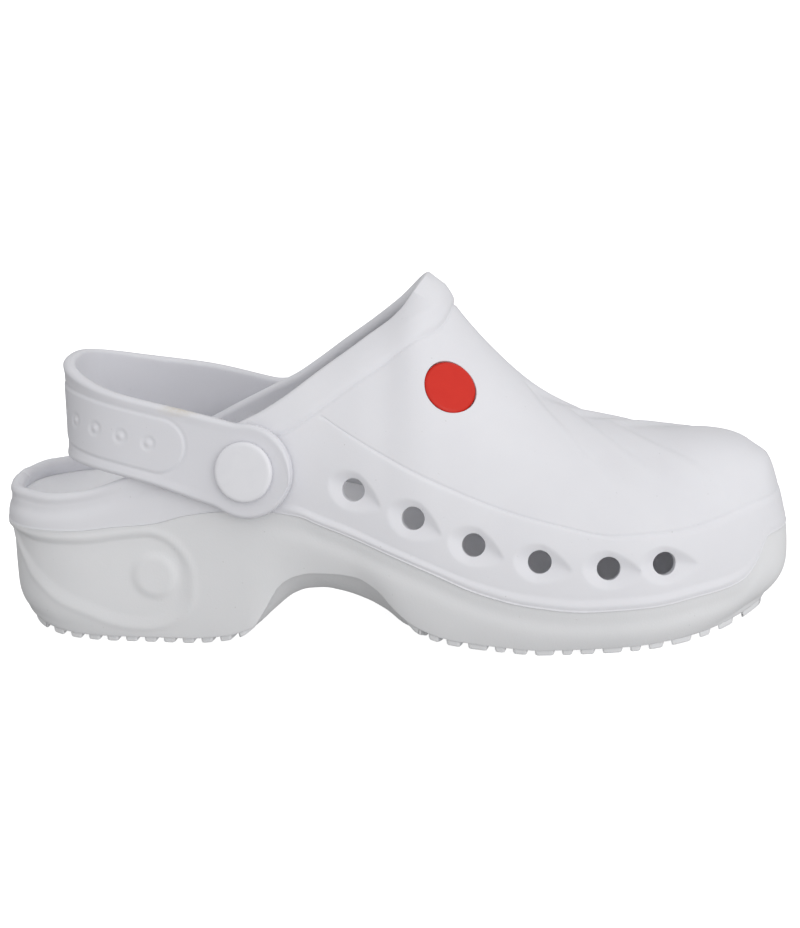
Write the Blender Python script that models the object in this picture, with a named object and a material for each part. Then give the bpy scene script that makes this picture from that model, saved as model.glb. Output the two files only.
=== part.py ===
"""Chef clog, right foot, moulded in foam: hollow upper, tray sole with lugs, insole, heel strap on two rivets, round button.

Metres. The toe points along +X, the medial side along +Y and up is +Z. The tread rests on z = 0.
Shapes are first laid out from the back of the heel (x = 0) along the line from heel to toe (y = 0).
They are then moved so the shoe is centred.
"""
import math

import bmesh
import bpy
import numpy as np
from mathutils import Matrix, Vector

# Overall sizes
LENGTH = 0.275
BALL_WIDTH = 0.102
INSTEP_HEIGHT = 0.124

# Walls, fits and edges
WALL = 0.004
FIT = 0.0003
SIDE_FIT = 0.0006
EDGE_STEPS = 2
BEND_WEIGHT = 0.060

# Cuff, beads and steps of the upper
CUFF_WIDTH = 0.0105
CUFF_RISE = 0.0013
BEAD_WIDTH = 0.0050
BEAD_RISE = 0.0009
BAND_RISE = 0.0008
CREASE_WIDTH = 0.0024
CUFF_FULL_SPAN = 0.024
DETAIL_FULL_SPAN = 0.040
LEAST_BAND = 0.001

# Sole
LUG_HEIGHT = 0.0023
LUG_INSET = 0.0012
LUG_TAPER = 0.0004
ARCH_BEVEL = 0.0008
GROOVE_WIDTH = 0.0025
GROOVE_DEPTH = 0.0020
CHANNEL_WIDTH = 0.0030
CHANNEL_DEPTH = 0.0016
CHANNEL_SHARES = (-0.16, 0.16)
FLOOR_FILLET = 0.0030
SPINE_FROM_HEEL = 0.026
SPINE_FROM_TOE = 0.029
BOSS_RADIUS = 0.0095
BOSS_RISE = 0.0012
BOSS_ROOT = 0.003
BOSS_STATION = 0.2167
BOSS_HEIGHT = 0.0252

# Insole
INSOLE_THICKNESS = 0.0040
INSOLE_CUP = 0.0045
INSOLE_BEVEL = 0.0012

# Strap and rivets
STRAP_THICKNESS = 0.0040
STRAP_SOFT_EDGE = 0.0012
LOBE_RADIUS = 0.0161
NECK_HALF_WIDTH = 0.0147
NECK_LENGTH = 0.010
LOBE_SHOULDER = 0.0125
STRAP_TILT = 0.267
POST_RADIUS = 0.0040
CAP_RADIUS = 0.0106
CAP_THICKNESS = 0.0022
CAP_EDGE = 0.0009
BACK_RADIUS = 0.0065
BACK_THICKNESS = 0.0014
BACK_FIT = 0.0005

# Vents and button
VENT_RADIUS = 0.0040
VENT_SIDES = 12
RECESS_LENGTH = 0.0122
RECESS_HEIGHT = 0.0073
RECESS_DEPTH = 0.0030
RECESS_SINK = 0.0013
RECESS_SHIFT = 0.0034
BUTTON_RADIUS = 0.0093
BUTTON_THICKNESS = 0.0019
BUTTON_EDGE = 0.0010
BUTTON_POCKET = 0.0021
HOLE_DEPTH = 0.010
HOLE_ABOVE = 0.008

# How finely the round shapes are divided
COLUMNS = 66
RIB_SAMPLES_LOW = 50
RIB_SAMPLES_HIGH = 150
ROUND_SIDES = 24

# station, lateral fullness, medial fullness:
# half width over BALL_WIDTH and over an ellipse as long as the shoe
OUTLINE = (
    (0.000, 0.700, 0.700),
    (0.008, 0.702, 0.702),
    (0.033, 0.668, 0.668),
    (0.080, 0.578, 0.572),
    (0.153, 0.482, 0.466),
    (0.240, 0.428, 0.398),
    (0.331, 0.424, 0.376),
    (0.418, 0.440, 0.389),
    (0.509, 0.475, 0.417),
    (0.600, 0.515, 0.470),
    (0.691, 0.552, 0.541),
    (0.782, 0.587, 0.617),
    (0.865, 0.611, 0.682),
    (0.931, 0.605, 0.715),
    (0.975, 0.590, 0.705),
    (1.000, 0.600, 0.690),
)

# station, height of the crown over INSTEP_HEIGHT;
# behind the collar peak it is the surface the collar edge lies on
CROWN = (
    (0.016, 0.434),
    (0.044, 0.468),
    (0.076, 0.508),
    (0.120, 0.565),
    (0.207, 0.702),
    (0.273, 0.782),
    (0.331, 0.835),
    (0.385, 0.861),
    (0.436, 0.879),
    (0.484, 0.908),
    (0.531, 0.966),
    (0.551, 0.992),
    (0.573, 0.960),
    (0.588, 0.910),
    (0.609, 0.846),
    (0.639, 0.768),
    (0.668, 0.702),
    (0.697, 0.650),
    (0.727, 0.612),
    (0.757, 0.588),
    (0.802, 0.564),
    (0.847, 0.550),
    (0.892, 0.544),
    (0.922, 0.535),
    (0.951, 0.512),
    (0.967, 0.489),
    (0.982, 0.447),
    (0.993, 0.352),
)
CROWN_HEEL_END = 0.42
CROWN_TOE_END = 0.56

# station, belt (height of the widest line), parting line between sole and upper, sharpness of the section
SIDES = (
    (0.000, 0.325, 0.323, 2.30),
    (0.110, 0.325, 0.327, 2.30),
    (0.164, 0.336, 0.341, 2.30),
    (0.218, 0.354, 0.353, 2.30),
    (0.262, 0.375, 0.379, 2.30),
    (0.310, 0.391, 0.394, 2.30),
    (0.364, 0.395, 0.398, 2.30),
    (0.411, 0.383, 0.389, 2.25),
    (0.436, 0.367, 0.368, 2.20),
    (0.480, 0.335, 0.333, 2.10),
    (0.527, 0.294, 0.289, 1.85),
    (0.575, 0.254, 0.245, 1.75),
    (0.636, 0.210, 0.188, 1.85),
    (0.698, 0.181, 0.152, 2.05),
    (0.771, 0.165, 0.134, 2.25),
    (0.840, 0.169, 0.136, 2.35),
    (0.898, 0.190, 0.152, 2.40),
    (0.935, 0.210, 0.163, 2.40),
    (0.953, 0.222, 0.178, 2.40),
    (0.968, 0.231, 0.222, 2.40),
    (0.980, 0.237, 0.280, 2.40),
    (1.000, 0.242, 0.284, 2.40),
)

# station, lateral and medial height of the collar edge over INSTEP_HEIGHT
COLLAR = (
    (0.000, 0.431, 0.431),
    (0.044, 0.428, 0.440),
    (0.076, 0.429, 0.443),
    (0.120, 0.440, 0.452),
    (0.149, 0.456, 0.465),
    (0.178, 0.479, 0.485),
    (0.207, 0.506, 0.509),
    (0.236, 0.533, 0.533),
    (0.284, 0.587, 0.587),
    (0.332, 0.640, 0.640),
    (0.364, 0.674, 0.674),
    (0.387, 0.704, 0.707),
    (0.433, 0.774, 0.781),
    (0.487, 0.852, 0.867),
    (0.531, 0.920, 0.945),
    (0.551, 0.992, 0.992),
)

# stations where the collar edge starts at the heel and ends at the peak,
# and how the ribs crowd towards the peak
COLLAR_HEEL = 0.0164
COLLAR_PEAK = 0.5509
COLLAR_CROWDING = 1.9

# where the soft step runs between the parting line and the cuff where it leaves its own line
STEP_FREE_SHARE = 0.42
STEP_HIGHEST_SHARE = 0.92

# station, height over INSTEP_HEIGHT of the rivets on both sides and of the button on the lateral side
RIVET_PLACE = (0.3484, 0.5113)
BUTTON_PLACE = (0.5982, 0.7234)

# station, height of the soft step between vamp and side band over INSTEP_HEIGHT
STEP_LINE = (
    (0.000, 1.300),
    (0.320, 1.000),
    (0.432, 0.677),
    (0.489, 0.596),
    (0.539, 0.535),
    (0.601, 0.469),
    (0.663, 0.413),
    (0.735, 0.366),
    (0.806, 0.334),
    (0.877, 0.336),
    (0.924, 0.354),
    (0.958, 0.374),
    (1.000, 0.384),
)

# station, tread height at the edge, tread height along the middle, both in metres:
# heel rounding, arch and toe spring
TREAD = (
    (0.000, 0.0045, 0.0045),
    (0.030, 0.0036, 0.0034),
    (0.055, 0.0022, 0.0020),
    (0.080, 0.0010, 0.0008),
    (0.115, 0.0002, 0.0001),
    (0.150, 0.0000, 0.0000),
    (0.250, 0.0000, 0.0000),
    (0.285, 0.0008, 0.0000),
    (0.315, 0.0024, 0.0004),
    (0.336, 0.0054, 0.0038),
    (0.353, 0.0118, 0.0074),
    (0.378, 0.0222, 0.0122),
    (0.398, 0.0254, 0.0140),
    (0.420, 0.0267, 0.0143),
    (0.445, 0.0268, 0.0130),
    (0.475, 0.0260, 0.0100),
    (0.501, 0.0220, 0.0062),
    (0.524, 0.0150, 0.0018),
    (0.550, 0.0080, 0.0000),
    (0.587, 0.0040, 0.0000),
    (0.620, 0.0025, 0.0000),
    (0.660, 0.0012, 0.0000),
    (0.710, 0.0000, 0.0000),
    (0.820, 0.0000, 0.0000),
    (0.860, 0.0006, 0.0006),
    (0.898, 0.0018, 0.0018),
    (0.945, 0.0050, 0.0050),
    (0.970, 0.0075, 0.0075),
    (1.000, 0.0092, 0.0092),
)

# station, inset of the wall's foot in metres, how low the wall's foot is rounded
WALL_FOOT = (
    (0.000, 0.0060, 7.0),
    (0.150, 0.0035, 6.0),
    (0.300, 0.0030, 4.0),
    (0.420, 0.0030, 2.2),
    (0.550, 0.0035, 2.4),
    (0.730, 0.0045, 2.8),
    (0.930, 0.0060, 3.2),
    (1.000, 0.0070, 3.5),
)

# station, height of the tray floor over INSTEP_HEIGHT
FLOOR = (
    (0.000, 0.252),
    (0.220, 0.250),
    (0.330, 0.258),
    (0.420, 0.270),
    (0.475, 0.262),
    (0.510, 0.238),
    (0.560, 0.190),
    (0.620, 0.145),
    (0.700, 0.117),
    (0.780, 0.108),
    (0.900, 0.118),
    (1.000, 0.140),
)

# distance from the middle over BALL_WIDTH, station of the strap's middle,
# its height over INSTEP_HEIGHT, its half width in metres
STRAP = (
    (0.000, 0.0950, 0.642, 0.0170),
    (0.080, 0.0972, 0.641, 0.0168),
    (0.160, 0.1060, 0.636, 0.0160),
    (0.236, 0.1225, 0.629, 0.0148),
    (0.299, 0.1490, 0.617, 0.0140),
    (0.345, 0.1890, 0.600, 0.0137),
    (0.373, 0.2400, 0.576, 0.0139),
)

# station, height over INSTEP_HEIGHT of the middle of each vent on the lateral side
VENTS = (
    (0.4799, 0.466),
    (0.5547, 0.392),
    (0.6291, 0.321),
    (0.7097, 0.274),
    (0.7931, 0.250),
    (0.8602, 0.252),
)

# first station, last station, pitches repeated along the zone in metres
GROOVE_ZONES = (
    (0.0640, 0.3250, (0.0069,)),
    (0.5620, 0.9550, (0.0061, 0.0074, 0.0091)),
)


def steady(rows, column):
    """Cubic through the rows of a table that never overshoots them."""
    xs = np.array([row[0] for row in rows])
    ys = np.array([row[column] for row in rows])
    h = np.diff(xs)
    chord = np.diff(ys) / h
    slope = np.zeros(len(xs))
    slope[0] = chord[0]
    slope[-1] = chord[-1]
    for k in range(1, len(xs) - 1):
        if chord[k - 1] * chord[k] > 0.0:
            before = 2.0 * h[k] + h[k - 1]
            after = h[k] + 2.0 * h[k - 1]
            slope[k] = (before + after) / (before / chord[k - 1] + after / chord[k])

    def value(x):
        x = np.clip(x, xs[0], xs[-1])
        k = np.clip(np.searchsorted(xs, x) - 1, 0, len(h) - 1)
        t = (x - xs[k]) / h[k]
        rise = (1.0 - t) * slope[k] - t * slope[k + 1] + (2.0 * t - 1.0) * chord[k]
        return ys[k] * (1.0 - t) + ys[k + 1] * t + h[k] * t * (1.0 - t) * rise

    return value


def flowing(xs, ys):
    """Natural cubic spline: the curvature is continuous through every row."""
    xs = np.asarray(xs, float)
    ys = np.asarray(ys, float)
    h = np.diff(xs)
    count = len(xs)
    system = np.eye(count)
    pull = np.zeros(count)
    for k in range(1, count - 1):
        system[k, k - 1] = h[k - 1]
        system[k, k] = 2.0 * (h[k - 1] + h[k])
        system[k, k + 1] = h[k]
        pull[k] = 6.0 * ((ys[k + 1] - ys[k]) / h[k] - (ys[k] - ys[k - 1]) / h[k - 1])
    bend = np.linalg.solve(system, pull)

    def value(x):
        x = np.clip(x, xs[0], xs[-1])
        k = np.clip(np.searchsorted(xs, x) - 1, 0, len(h) - 1)
        a = (xs[k + 1] - x) / h[k]
        b = (x - xs[k]) / h[k]
        lift = ((a ** 3 - a) * bend[k] + (b ** 3 - b) * bend[k + 1]) * h[k] ** 2 / 6.0
        return a * ys[k] + b * ys[k + 1] + lift

    return value


def column_of(rows, column):
    return [row[column] for row in rows]


def ramp(x, start, end):
    t = np.clip((x - start) / (end - start), 0.0, 1.0)
    return t * t * (3.0 - 2.0 * t)


def ellipse(station):
    """Height of an ellipse of unit half height over stations 0 to 1."""
    return np.sqrt(np.clip(4.0 * station * (1.0 - station), 0.0, 1.0))


belt_share = steady(SIDES, 1)
parting_share = steady(SIDES, 2)
sharpness = steady(SIDES, 3)
collar_lateral = steady(COLLAR, 1)
collar_medial = steady(COLLAR, 2)
step_share = steady(STEP_LINE, 1)
floor_share = steady(FLOOR, 1)
tread_edge = steady(TREAD, 1)
tread_middle = steady(TREAD, 2)
foot_inset = steady(WALL_FOOT, 1)
foot_round = steady(WALL_FOOT, 2)
lateral_fullness = flowing(column_of(OUTLINE, 0), column_of(OUTLINE, 1))
medial_fullness = flowing(column_of(OUTLINE, 0), column_of(OUTLINE, 2))


def crown_fullness():
    """Crown above the belt over an ellipse, so the crown closes roundly at heel and toe."""
    stations = [0.0] + column_of(CROWN, 0) + [1.0]
    shares = [CROWN_HEEL_END]
    for station, height in CROWN:
        shares.append(float((height - belt_share(station)) / ellipse(station)))
    shares.append(CROWN_TOE_END)
    return flowing(stations, shares)


crown_share = crown_fullness()


def half_width(station, lateral):
    fullness = np.where(lateral, lateral_fullness(station), medial_fullness(station))
    return BALL_WIDTH * fullness * ellipse(station)


def belt(station):
    return INSTEP_HEIGHT * belt_share(station)


def crown_rise(station):
    return INSTEP_HEIGHT * crown_share(station) * ellipse(station)


def middle(station):
    """Sideways place of the middle of the shoe."""
    return (half_width(station, False) - half_width(station, True)) / 2.0


def skin(station, climb, lateral):
    """Point of the outer skin above the belt; climb is 0 at the belt and a right angle on the crown."""
    power = 2.0 / sharpness(station)
    side = np.where(lateral, -1.0, 1.0)
    y = side * half_width(station, lateral) * np.clip(np.cos(climb), 0.0, 1.0) ** power
    z = belt(station) + crown_rise(station) * np.clip(np.sin(climb), 0.0, 1.0) ** power
    return np.stack([LENGTH * station + 0.0 * y, y, z], axis=-1)


def climb_at(station, height):
    """Climb angle where the skin passes a height."""
    share = np.clip((height - belt(station)) / np.maximum(crown_rise(station), 1e-6), 0.0, 1.0)
    return np.arcsin(share ** (sharpness(station) / 2.0))


def outline(beta):
    """Widest line seen from above; beta runs round from the back of the heel by the lateral side."""
    station = (1.0 - np.cos(beta)) / 2.0
    lateral = np.sin(beta) > 0.0
    y = np.where(lateral, -1.0, 1.0) * half_width(station, lateral)
    return np.stack([LENGTH * station, y], axis=-1)


def outward(beta):
    """Unit normal of the outline seen from above."""
    small = 1e-4
    along = outline(beta + small) - outline(beta - small)
    normal = np.stack([along[..., 1], -along[..., 0]], axis=-1)
    return normal / np.linalg.norm(normal, axis=-1, keepdims=True)


def collar_direction(beta):
    """Direction, in the ball the skin is mapped from, where each rib ends at the collar edge."""
    start = (1.0 - np.cos(beta)) / 2.0
    station = COLLAR_HEEL + (COLLAR_PEAK - COLLAR_HEEL) * (1.0 - (1.0 - start) ** COLLAR_CROWDING)
    share = np.where(np.sin(beta) > 0.0, collar_lateral(station), collar_medial(station))
    climb = climb_at(station, INSTEP_HEIGHT * share)
    near_end = ramp(start, 0.0, 0.004) * ramp(1.0 - start, 0.0, 0.004)
    climb = math.pi / 2.0 + (climb - math.pi / 2.0) * near_end
    x = 2.0 * station - 1.0
    radius = ellipse(station)
    side = -np.sign(np.sin(beta))
    return np.stack([x, side * radius * np.cos(climb), radius * np.sin(climb)], axis=-1)


def ribs(beta):
    """Outer skin as ribs, one per beta: foot of the wall, belt, then up over the skin to the collar edge."""
    beta = np.asarray(beta, float)[:, None]
    lateral = np.sin(beta) > 0.0
    start = (1.0 - np.cos(beta)) / 2.0
    low = np.linspace(0.0, 1.0, RIB_SAMPLES_LOW, endpoint=False)[None, :] ** 1.3
    plan = outline(beta)
    normal = outward(beta)
    inset = foot_inset(start) * (1.0 - low) ** foot_round(start)
    foot = chine(start)
    wall_x = plan[..., 0] - normal[..., 0] * inset
    wall_y = plan[..., 1] - normal[..., 1] * inset
    wall_z = foot + (belt(start) - foot) * low
    wall = np.stack([wall_x, wall_y, wall_z], axis=-1)
    high = np.linspace(0.0, 1.0, RIB_SAMPLES_HIGH)[None, :, None] ** 1.2
    base = np.stack([-np.cos(beta), -np.sin(beta), 0.0 * beta], axis=-1)
    end = collar_direction(beta)
    angle = np.arccos(np.clip(np.sum(base * end, axis=-1, keepdims=True), -1.0, 1.0))
    turn = (np.sin((1.0 - high) * angle) * base + np.sin(high * angle) * end) / np.sin(angle)
    station = np.clip((1.0 + turn[..., 0]) / 2.0, 0.0, 1.0)
    climb = np.arctan2(np.maximum(turn[..., 2], 0.0), np.abs(turn[..., 1]))
    upper = skin(station, climb, lateral & (np.abs(np.sin(beta)) > 1e-9))
    return np.concatenate([wall, upper], axis=1)


def chine(station):
    """Height of the lower edge of the side wall."""
    return tread_edge(station) + step_height(station)


def in_tread(station):
    """1 where the tread has lugs, 0 in the arch."""
    return 1.0 - ramp(station, 0.322, 0.345) * (1.0 - ramp(station, 0.520, 0.556))


def step_height(station):
    return ARCH_BEVEL + (LUG_HEIGHT - ARCH_BEVEL) * in_tread(station)


def rib_normals(beta):
    """Outward unit normals of the skin at every sample of every rib."""
    small = 2e-4
    beta = np.asarray(beta, float)
    across = ribs(beta + small) - ribs(beta - small)
    along = np.gradient(ribs(beta), axis=1)
    normal = np.cross(across, along)
    normal = normal / np.linalg.norm(normal, axis=-1, keepdims=True)
    return normal


class Skin:
    """Ribs of the outer skin with their lengths, read at any distance from the foot of the wall."""

    def __init__(self, beta):
        self.beta = np.asarray(beta, float)
        self.points = ribs(self.beta)
        self.normals = rib_normals(self.beta)
        steps = np.linalg.norm(np.diff(self.points, axis=1), axis=-1)
        start = np.zeros((len(self.beta), 1))
        self.run = np.concatenate([start, np.cumsum(steps, axis=1)], axis=1)
        self.full = self.run[:, -1]
        station = self.points[..., 0] / LENGTH
        height = self.points[..., 2]
        self.parting = self.crossing(height - INSTEP_HEIGHT * parting_share(station), 0.0)
        free = self.full - self.parting
        self.cuff = self.full - CUFF_WIDTH * np.minimum(1.0, free / CUFF_FULL_SPAN)
        step = self.crossing(height - INSTEP_HEIGHT * step_share(station), 0.0)
        low = self.parting + STEP_FREE_SHARE * (self.cuff - self.parting)
        highest = self.parting + STEP_HIGHEST_SHARE * (self.cuff - self.parting)
        missing = step >= self.full - 1e-6
        self.step = np.where(missing, low, np.minimum(step, highest))
        self.step_seen = np.where(missing, 0.0, 1.0)

    def crossing(self, gap, level):
        """Distance along each rib where a rising quantity first passes a level."""
        found = np.empty(len(self.beta))
        for i in range(len(self.beta)):
            over = gap[i] > level
            if not over.any():
                found[i] = self.full[i]
                continue
            k = int(np.argmax(over))
            if k == 0:
                found[i] = 0.0
                continue
            share = (level - gap[i, k - 1]) / (gap[i, k] - gap[i, k - 1])
            found[i] = self.run[i, k - 1] + share * (self.run[i, k] - self.run[i, k - 1])
        return found

    def at(self, distance):
        """Points and unit normals at one distance per rib."""
        points = np.empty((len(self.beta), 3))
        normals = np.empty((len(self.beta), 3))
        for i in range(len(self.beta)):
            for axis in range(3):
                points[i, axis] = np.interp(distance[i], self.run[i], self.points[i, :, axis])
                normals[i, axis] = np.interp(distance[i], self.run[i], self.normals[i, :, axis])
        normals = normals / np.linalg.norm(normals, axis=-1, keepdims=True)
        return points, normals

    def spread(self, first, last, count):
        """Distances that divide the stretch from first to last into parts of equal length and bend."""
        turn = np.linalg.norm(np.diff(self.normals, axis=1), axis=-1)
        start = np.zeros((len(self.beta), 1))
        steps = np.cumsum(np.diff(self.run, axis=1) + BEND_WEIGHT * turn, axis=1)
        effort = np.concatenate([start, steps], axis=1)
        marks = [np.empty(len(self.beta)) for _ in range(count)]
        for i in range(len(self.beta)):
            low = np.interp(first[i], self.run[i], effort[i])
            high = np.interp(last[i], self.run[i], effort[i])
            for k in range(count):
                wanted = low + (high - low) * (k + 1) / (count + 1)
                marks[k][i] = np.interp(wanted, effort[i], self.run[i])
        return marks

    def inner_at_height(self, height):
        """Points of the inner face of the wall at one height per rib."""
        inner = self.points - WALL * self.normals
        found = np.empty((len(self.beta), 3))
        for i in range(len(self.beta)):
            reach = RIB_SAMPLES_LOW + RIB_SAMPLES_HIGH // 3
            z = np.maximum.accumulate(inner[i, :reach, 2])
            for axis in range(3):
                found[i, axis] = np.interp(height[i], z, inner[i, :reach, axis])
        return found


def column_angles(count):
    """Betas spread by outline length, closer together in the arch, the same on both sides."""
    fine = np.linspace(0.0, math.pi, 4001)
    station = (1.0 - np.cos(fine)) / 2.0
    width = (half_width(station, True) + half_width(station, False)) / 2.0
    length = np.hypot(np.gradient(LENGTH * station), np.gradient(width))
    arch = ramp(station, 0.30, 0.34) * (1.0 - ramp(station, 0.53, 0.58))
    cumulative = np.concatenate([[0.0], np.cumsum((length * (1.0 + 0.7 * arch))[1:])])
    cumulative = cumulative / cumulative[-1]
    half = np.interp(np.linspace(0.0, 1.0, count // 2 + 1), cumulative, fine)
    return np.concatenate([half, 2.0 * math.pi - half[-2:0:-1]])


def relief(shell, distance, points):
    """How far the outer face stands proud of the plain skin: bead over the parting line, side band, cuff."""
    station = points[:, 0] / LENGTH
    free = shell.full - shell.parting
    scale = np.minimum(1.0, free / DETAIL_FULL_SPAN)
    from_parting = distance - shell.parting
    fore = ramp(station, 0.41, 0.45)
    bead = np.exp(-((from_parting - 0.55 * BEAD_WIDTH) / (0.42 * BEAD_WIDTH)) ** 2) * BEAD_RISE * fore
    from_step = (distance - shell.step) / CREASE_WIDTH
    band = BAND_RISE * np.clip(0.5 - from_step, 0.0, 1.0) * shell.step_seen * ramp(station, 0.50, 0.62)
    band = band * np.clip(from_parting / BEAD_WIDTH, 0.0, 1.0)
    across = np.clip((distance - shell.cuff) / (shell.full - shell.cuff), 0.0, 1.0)
    sides = ramp(station, 0.42, 0.50) + (1.0 - ramp(station, 0.02, 0.24))
    cuff = CUFF_RISE * np.minimum(1.0, across * 6.0) * np.cos(across * math.pi / 2.0) ** 0.6 * sides
    return bead * scale + band + cuff


def loft(rings, closed):
    """Mesh from rings of equal length: each ring joins round, and the last joins the first when closed."""
    count = len(rings[0])
    verts = [tuple(point) for ring in rings for point in ring]
    faces = []
    pairs = len(rings) if closed else len(rings) - 1
    for k in range(pairs):
        a = k * count
        b = ((k + 1) % len(rings)) * count
        for i in range(count):
            j = (i + 1) % count
            faces.append((a + i, a + j, b + j, b + i))
    return verts, faces


def zip_spine(verts, faces, first, count):
    """Join the two halves of a ring that lies on the middle line, pairing each place with its mirror."""
    keep = {}
    for i in range(count):
        mirror = (count - i) % count
        keep[first + i] = first + min(i, mirror)
    joined = []
    for face in faces:
        corners = []
        for corner in face:
            corner = keep.get(corner, corner)
            if corner not in corners:
                corners.append(corner)
        if len(corners) >= 3:
            joined.append(tuple(corners))
    return verts, joined


def make_object(name, verts, faces):
    mesh = bpy.data.meshes.new(name)
    used = sorted({corner for face in faces for corner in face})
    index = {old: new for new, old in enumerate(used)}
    mesh.from_pydata([verts[k] for k in used], [], [tuple(index[c] for c in face) for face in faces])
    work = bmesh.new()
    work.from_mesh(mesh)
    bmesh.ops.triangulate(work, faces=work.faces[:])
    bmesh.ops.recalc_face_normals(work, faces=work.faces[:])
    work.to_mesh(mesh)
    work.free()
    thing = bpy.data.objects.new(name, mesh)
    bpy.context.scene.collection.objects.link(thing)
    return thing


def shift_to_centre():
    """Sideways and lengthways move that centres the shoe on the origin."""
    fine = np.linspace(0.0, 1.0, 2001)
    lateral = float(np.max(half_width(fine, True)))
    medial = float(np.max(half_width(fine, False)))
    return np.array([-LENGTH / 2.0, (lateral - medial) / 2.0, 0.0])


def place(verts):
    return [tuple(np.asarray(vert) + SHIFT) for vert in verts]


SHIFT = shift_to_centre()


def seat(station, height, lateral):
    """Point of the skin at a station and height, its outward normal and the direction towards the toe."""
    small = 1e-3
    climb = climb_at(station, height)
    here = skin(station, climb, lateral)
    fore = skin(station + small, climb_at(station + small, height), lateral)
    rise = skin(station, climb_at(station, height + small * INSTEP_HEIGHT), lateral)
    along = fore - here
    up = rise - here
    normal = np.cross(along, up) if lateral else np.cross(up, along)
    normal = normal / np.linalg.norm(normal)
    along = along / np.linalg.norm(along)
    return here, normal, along


def build_upper(shell):
    near = shell.parting + FIT / 2.0
    free = shell.full - shell.parting
    scale = np.minimum(1.0, free / DETAIL_FULL_SPAN)
    bead = near + BEAD_WIDTH * scale
    below = np.maximum(shell.step - CREASE_WIDTH / 2.0 * scale, bead + LEAST_BAND * scale)
    above = below + CREASE_WIDTH * scale
    rings = []
    marks = [near, near + 0.35 * (bead - near), near + 0.70 * (bead - near), bead]
    marks += [bead + share * (below - bead) for share in (0.34, 0.67)]
    marks += [below, above]
    marks += shell.spread(above, shell.cuff, 6)
    marks += [shell.cuff, shell.cuff + 0.15 * (shell.full - shell.cuff)]
    marks += [shell.cuff + share * (shell.full - shell.cuff) for share in (0.45, 0.75)]
    for distance in marks:
        points, normals = shell.at(distance)
        proud = relief(shell, distance, points)
        rings.append(points + normals * proud[:, None])
    end, end_normal = shell.at(shell.full)
    before, _ = shell.at(shell.full - 0.001)
    ahead = end - before
    ahead = ahead - np.sum(ahead * end_normal, axis=-1, keepdims=True) * end_normal
    ahead = ahead / np.linalg.norm(ahead, axis=-1, keepdims=True)
    radius = WALL / 2.0
    centre = end - end_normal * radius - ahead * radius
    for k in range(EDGE_STEPS + 2):
        turn = math.pi * k / (EDGE_STEPS + 1)
        rings.append(centre + radius * (math.cos(turn) * end_normal + math.sin(turn) * ahead))
    inner_marks = [shell.cuff]
    inner_marks += shell.spread(above, shell.cuff, 3)[::-1]
    inner_marks += [shell.step, bead, near]
    for distance in inner_marks:
        points, normals = shell.at(distance)
        rings.append(points - normals * WALL)
    verts, faces = loft(rings, True)
    return make_object("upper", place(verts), faces)


def spine_points(height):
    """Points along the middle line, one per column; the two halves share them."""
    station = (1.0 - np.cos(BETA)) / 2.0
    x = SPINE_FROM_HEEL + (LENGTH - SPINE_FROM_TOE - SPINE_FROM_HEEL) * station
    y = middle(x / LENGTH)
    return np.stack([x, y, height(x / LENGTH)], axis=-1)


def tread_height(station, share):
    low = tread_middle(station)
    return low + (tread_edge(station) - low) * share ** 2.5


def between(spine, edge, share, height):
    """Ring part of the way from the middle line to an edge ring, at a height given by station and share."""
    ring = spine + share * (edge - spine)
    ring[:, 2] = height(ring[:, 0] / LENGTH, share)
    return ring


def floor_height(station, share):
    return INSTEP_HEIGHT * floor_share(station) + 0.0 * share


def build_sole(shell):
    chine_points, _ = shell.at(np.zeros(COLUMNS))
    normal = outward(BETA)
    flat = np.concatenate([normal, np.zeros((COLUMNS, 1))], axis=1)
    lug_top = chine_points - flat * LUG_INSET
    lug_edge = chine_points - flat * (LUG_INSET + LUG_TAPER)
    lug_edge[:, 2] = tread_edge(lug_edge[:, 0] / LENGTH)
    spine = spine_points(lambda station: tread_middle(station))
    rings = [spine]
    rings += [between(spine, lug_edge, share, tread_height) for share in (0.62,)]
    rings += [lug_edge, lug_top, chine_points]
    far = shell.parting - FIT / 2.0
    for share in (0.12, 0.50):
        points, _ = shell.at(share * far)
        rings.append(points)
    outer, outer_normal = shell.at(far)
    rings.append(outer)
    inner = outer - outer_normal * WALL
    rings.append(inner)
    station = inner[:, 0] / LENGTH
    fillet_top = INSTEP_HEIGHT * floor_share(station) + FLOOR_FILLET
    low = shell.inner_at_height(fillet_top)
    rings.append(low)
    floor_edge = low - flat * FLOOR_FILLET
    floor_edge[:, 2] = INSTEP_HEIGHT * floor_share(floor_edge[:, 0] / LENGTH)
    rings.append(floor_edge)
    top_spine = spine_points(lambda station: INSTEP_HEIGHT * floor_share(station))
    rings.append(between(top_spine, floor_edge, 0.55, floor_height))
    rings.append(top_spine)
    verts, faces = loft(rings, False)
    verts, faces = zip_spine(verts, faces, 0, COLUMNS)
    verts, faces = zip_spine(verts, faces, (len(rings) - 1) * COLUMNS, COLUMNS)
    return make_object("sole", place(verts), faces)


def insole_top(station, share):
    rim = 1.0 - ramp(station, 0.30, 0.55)
    cup = INSOLE_CUP * rim * share ** 4
    return INSTEP_HEIGHT * floor_share(station) + FIT + INSOLE_THICKNESS + cup


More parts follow.
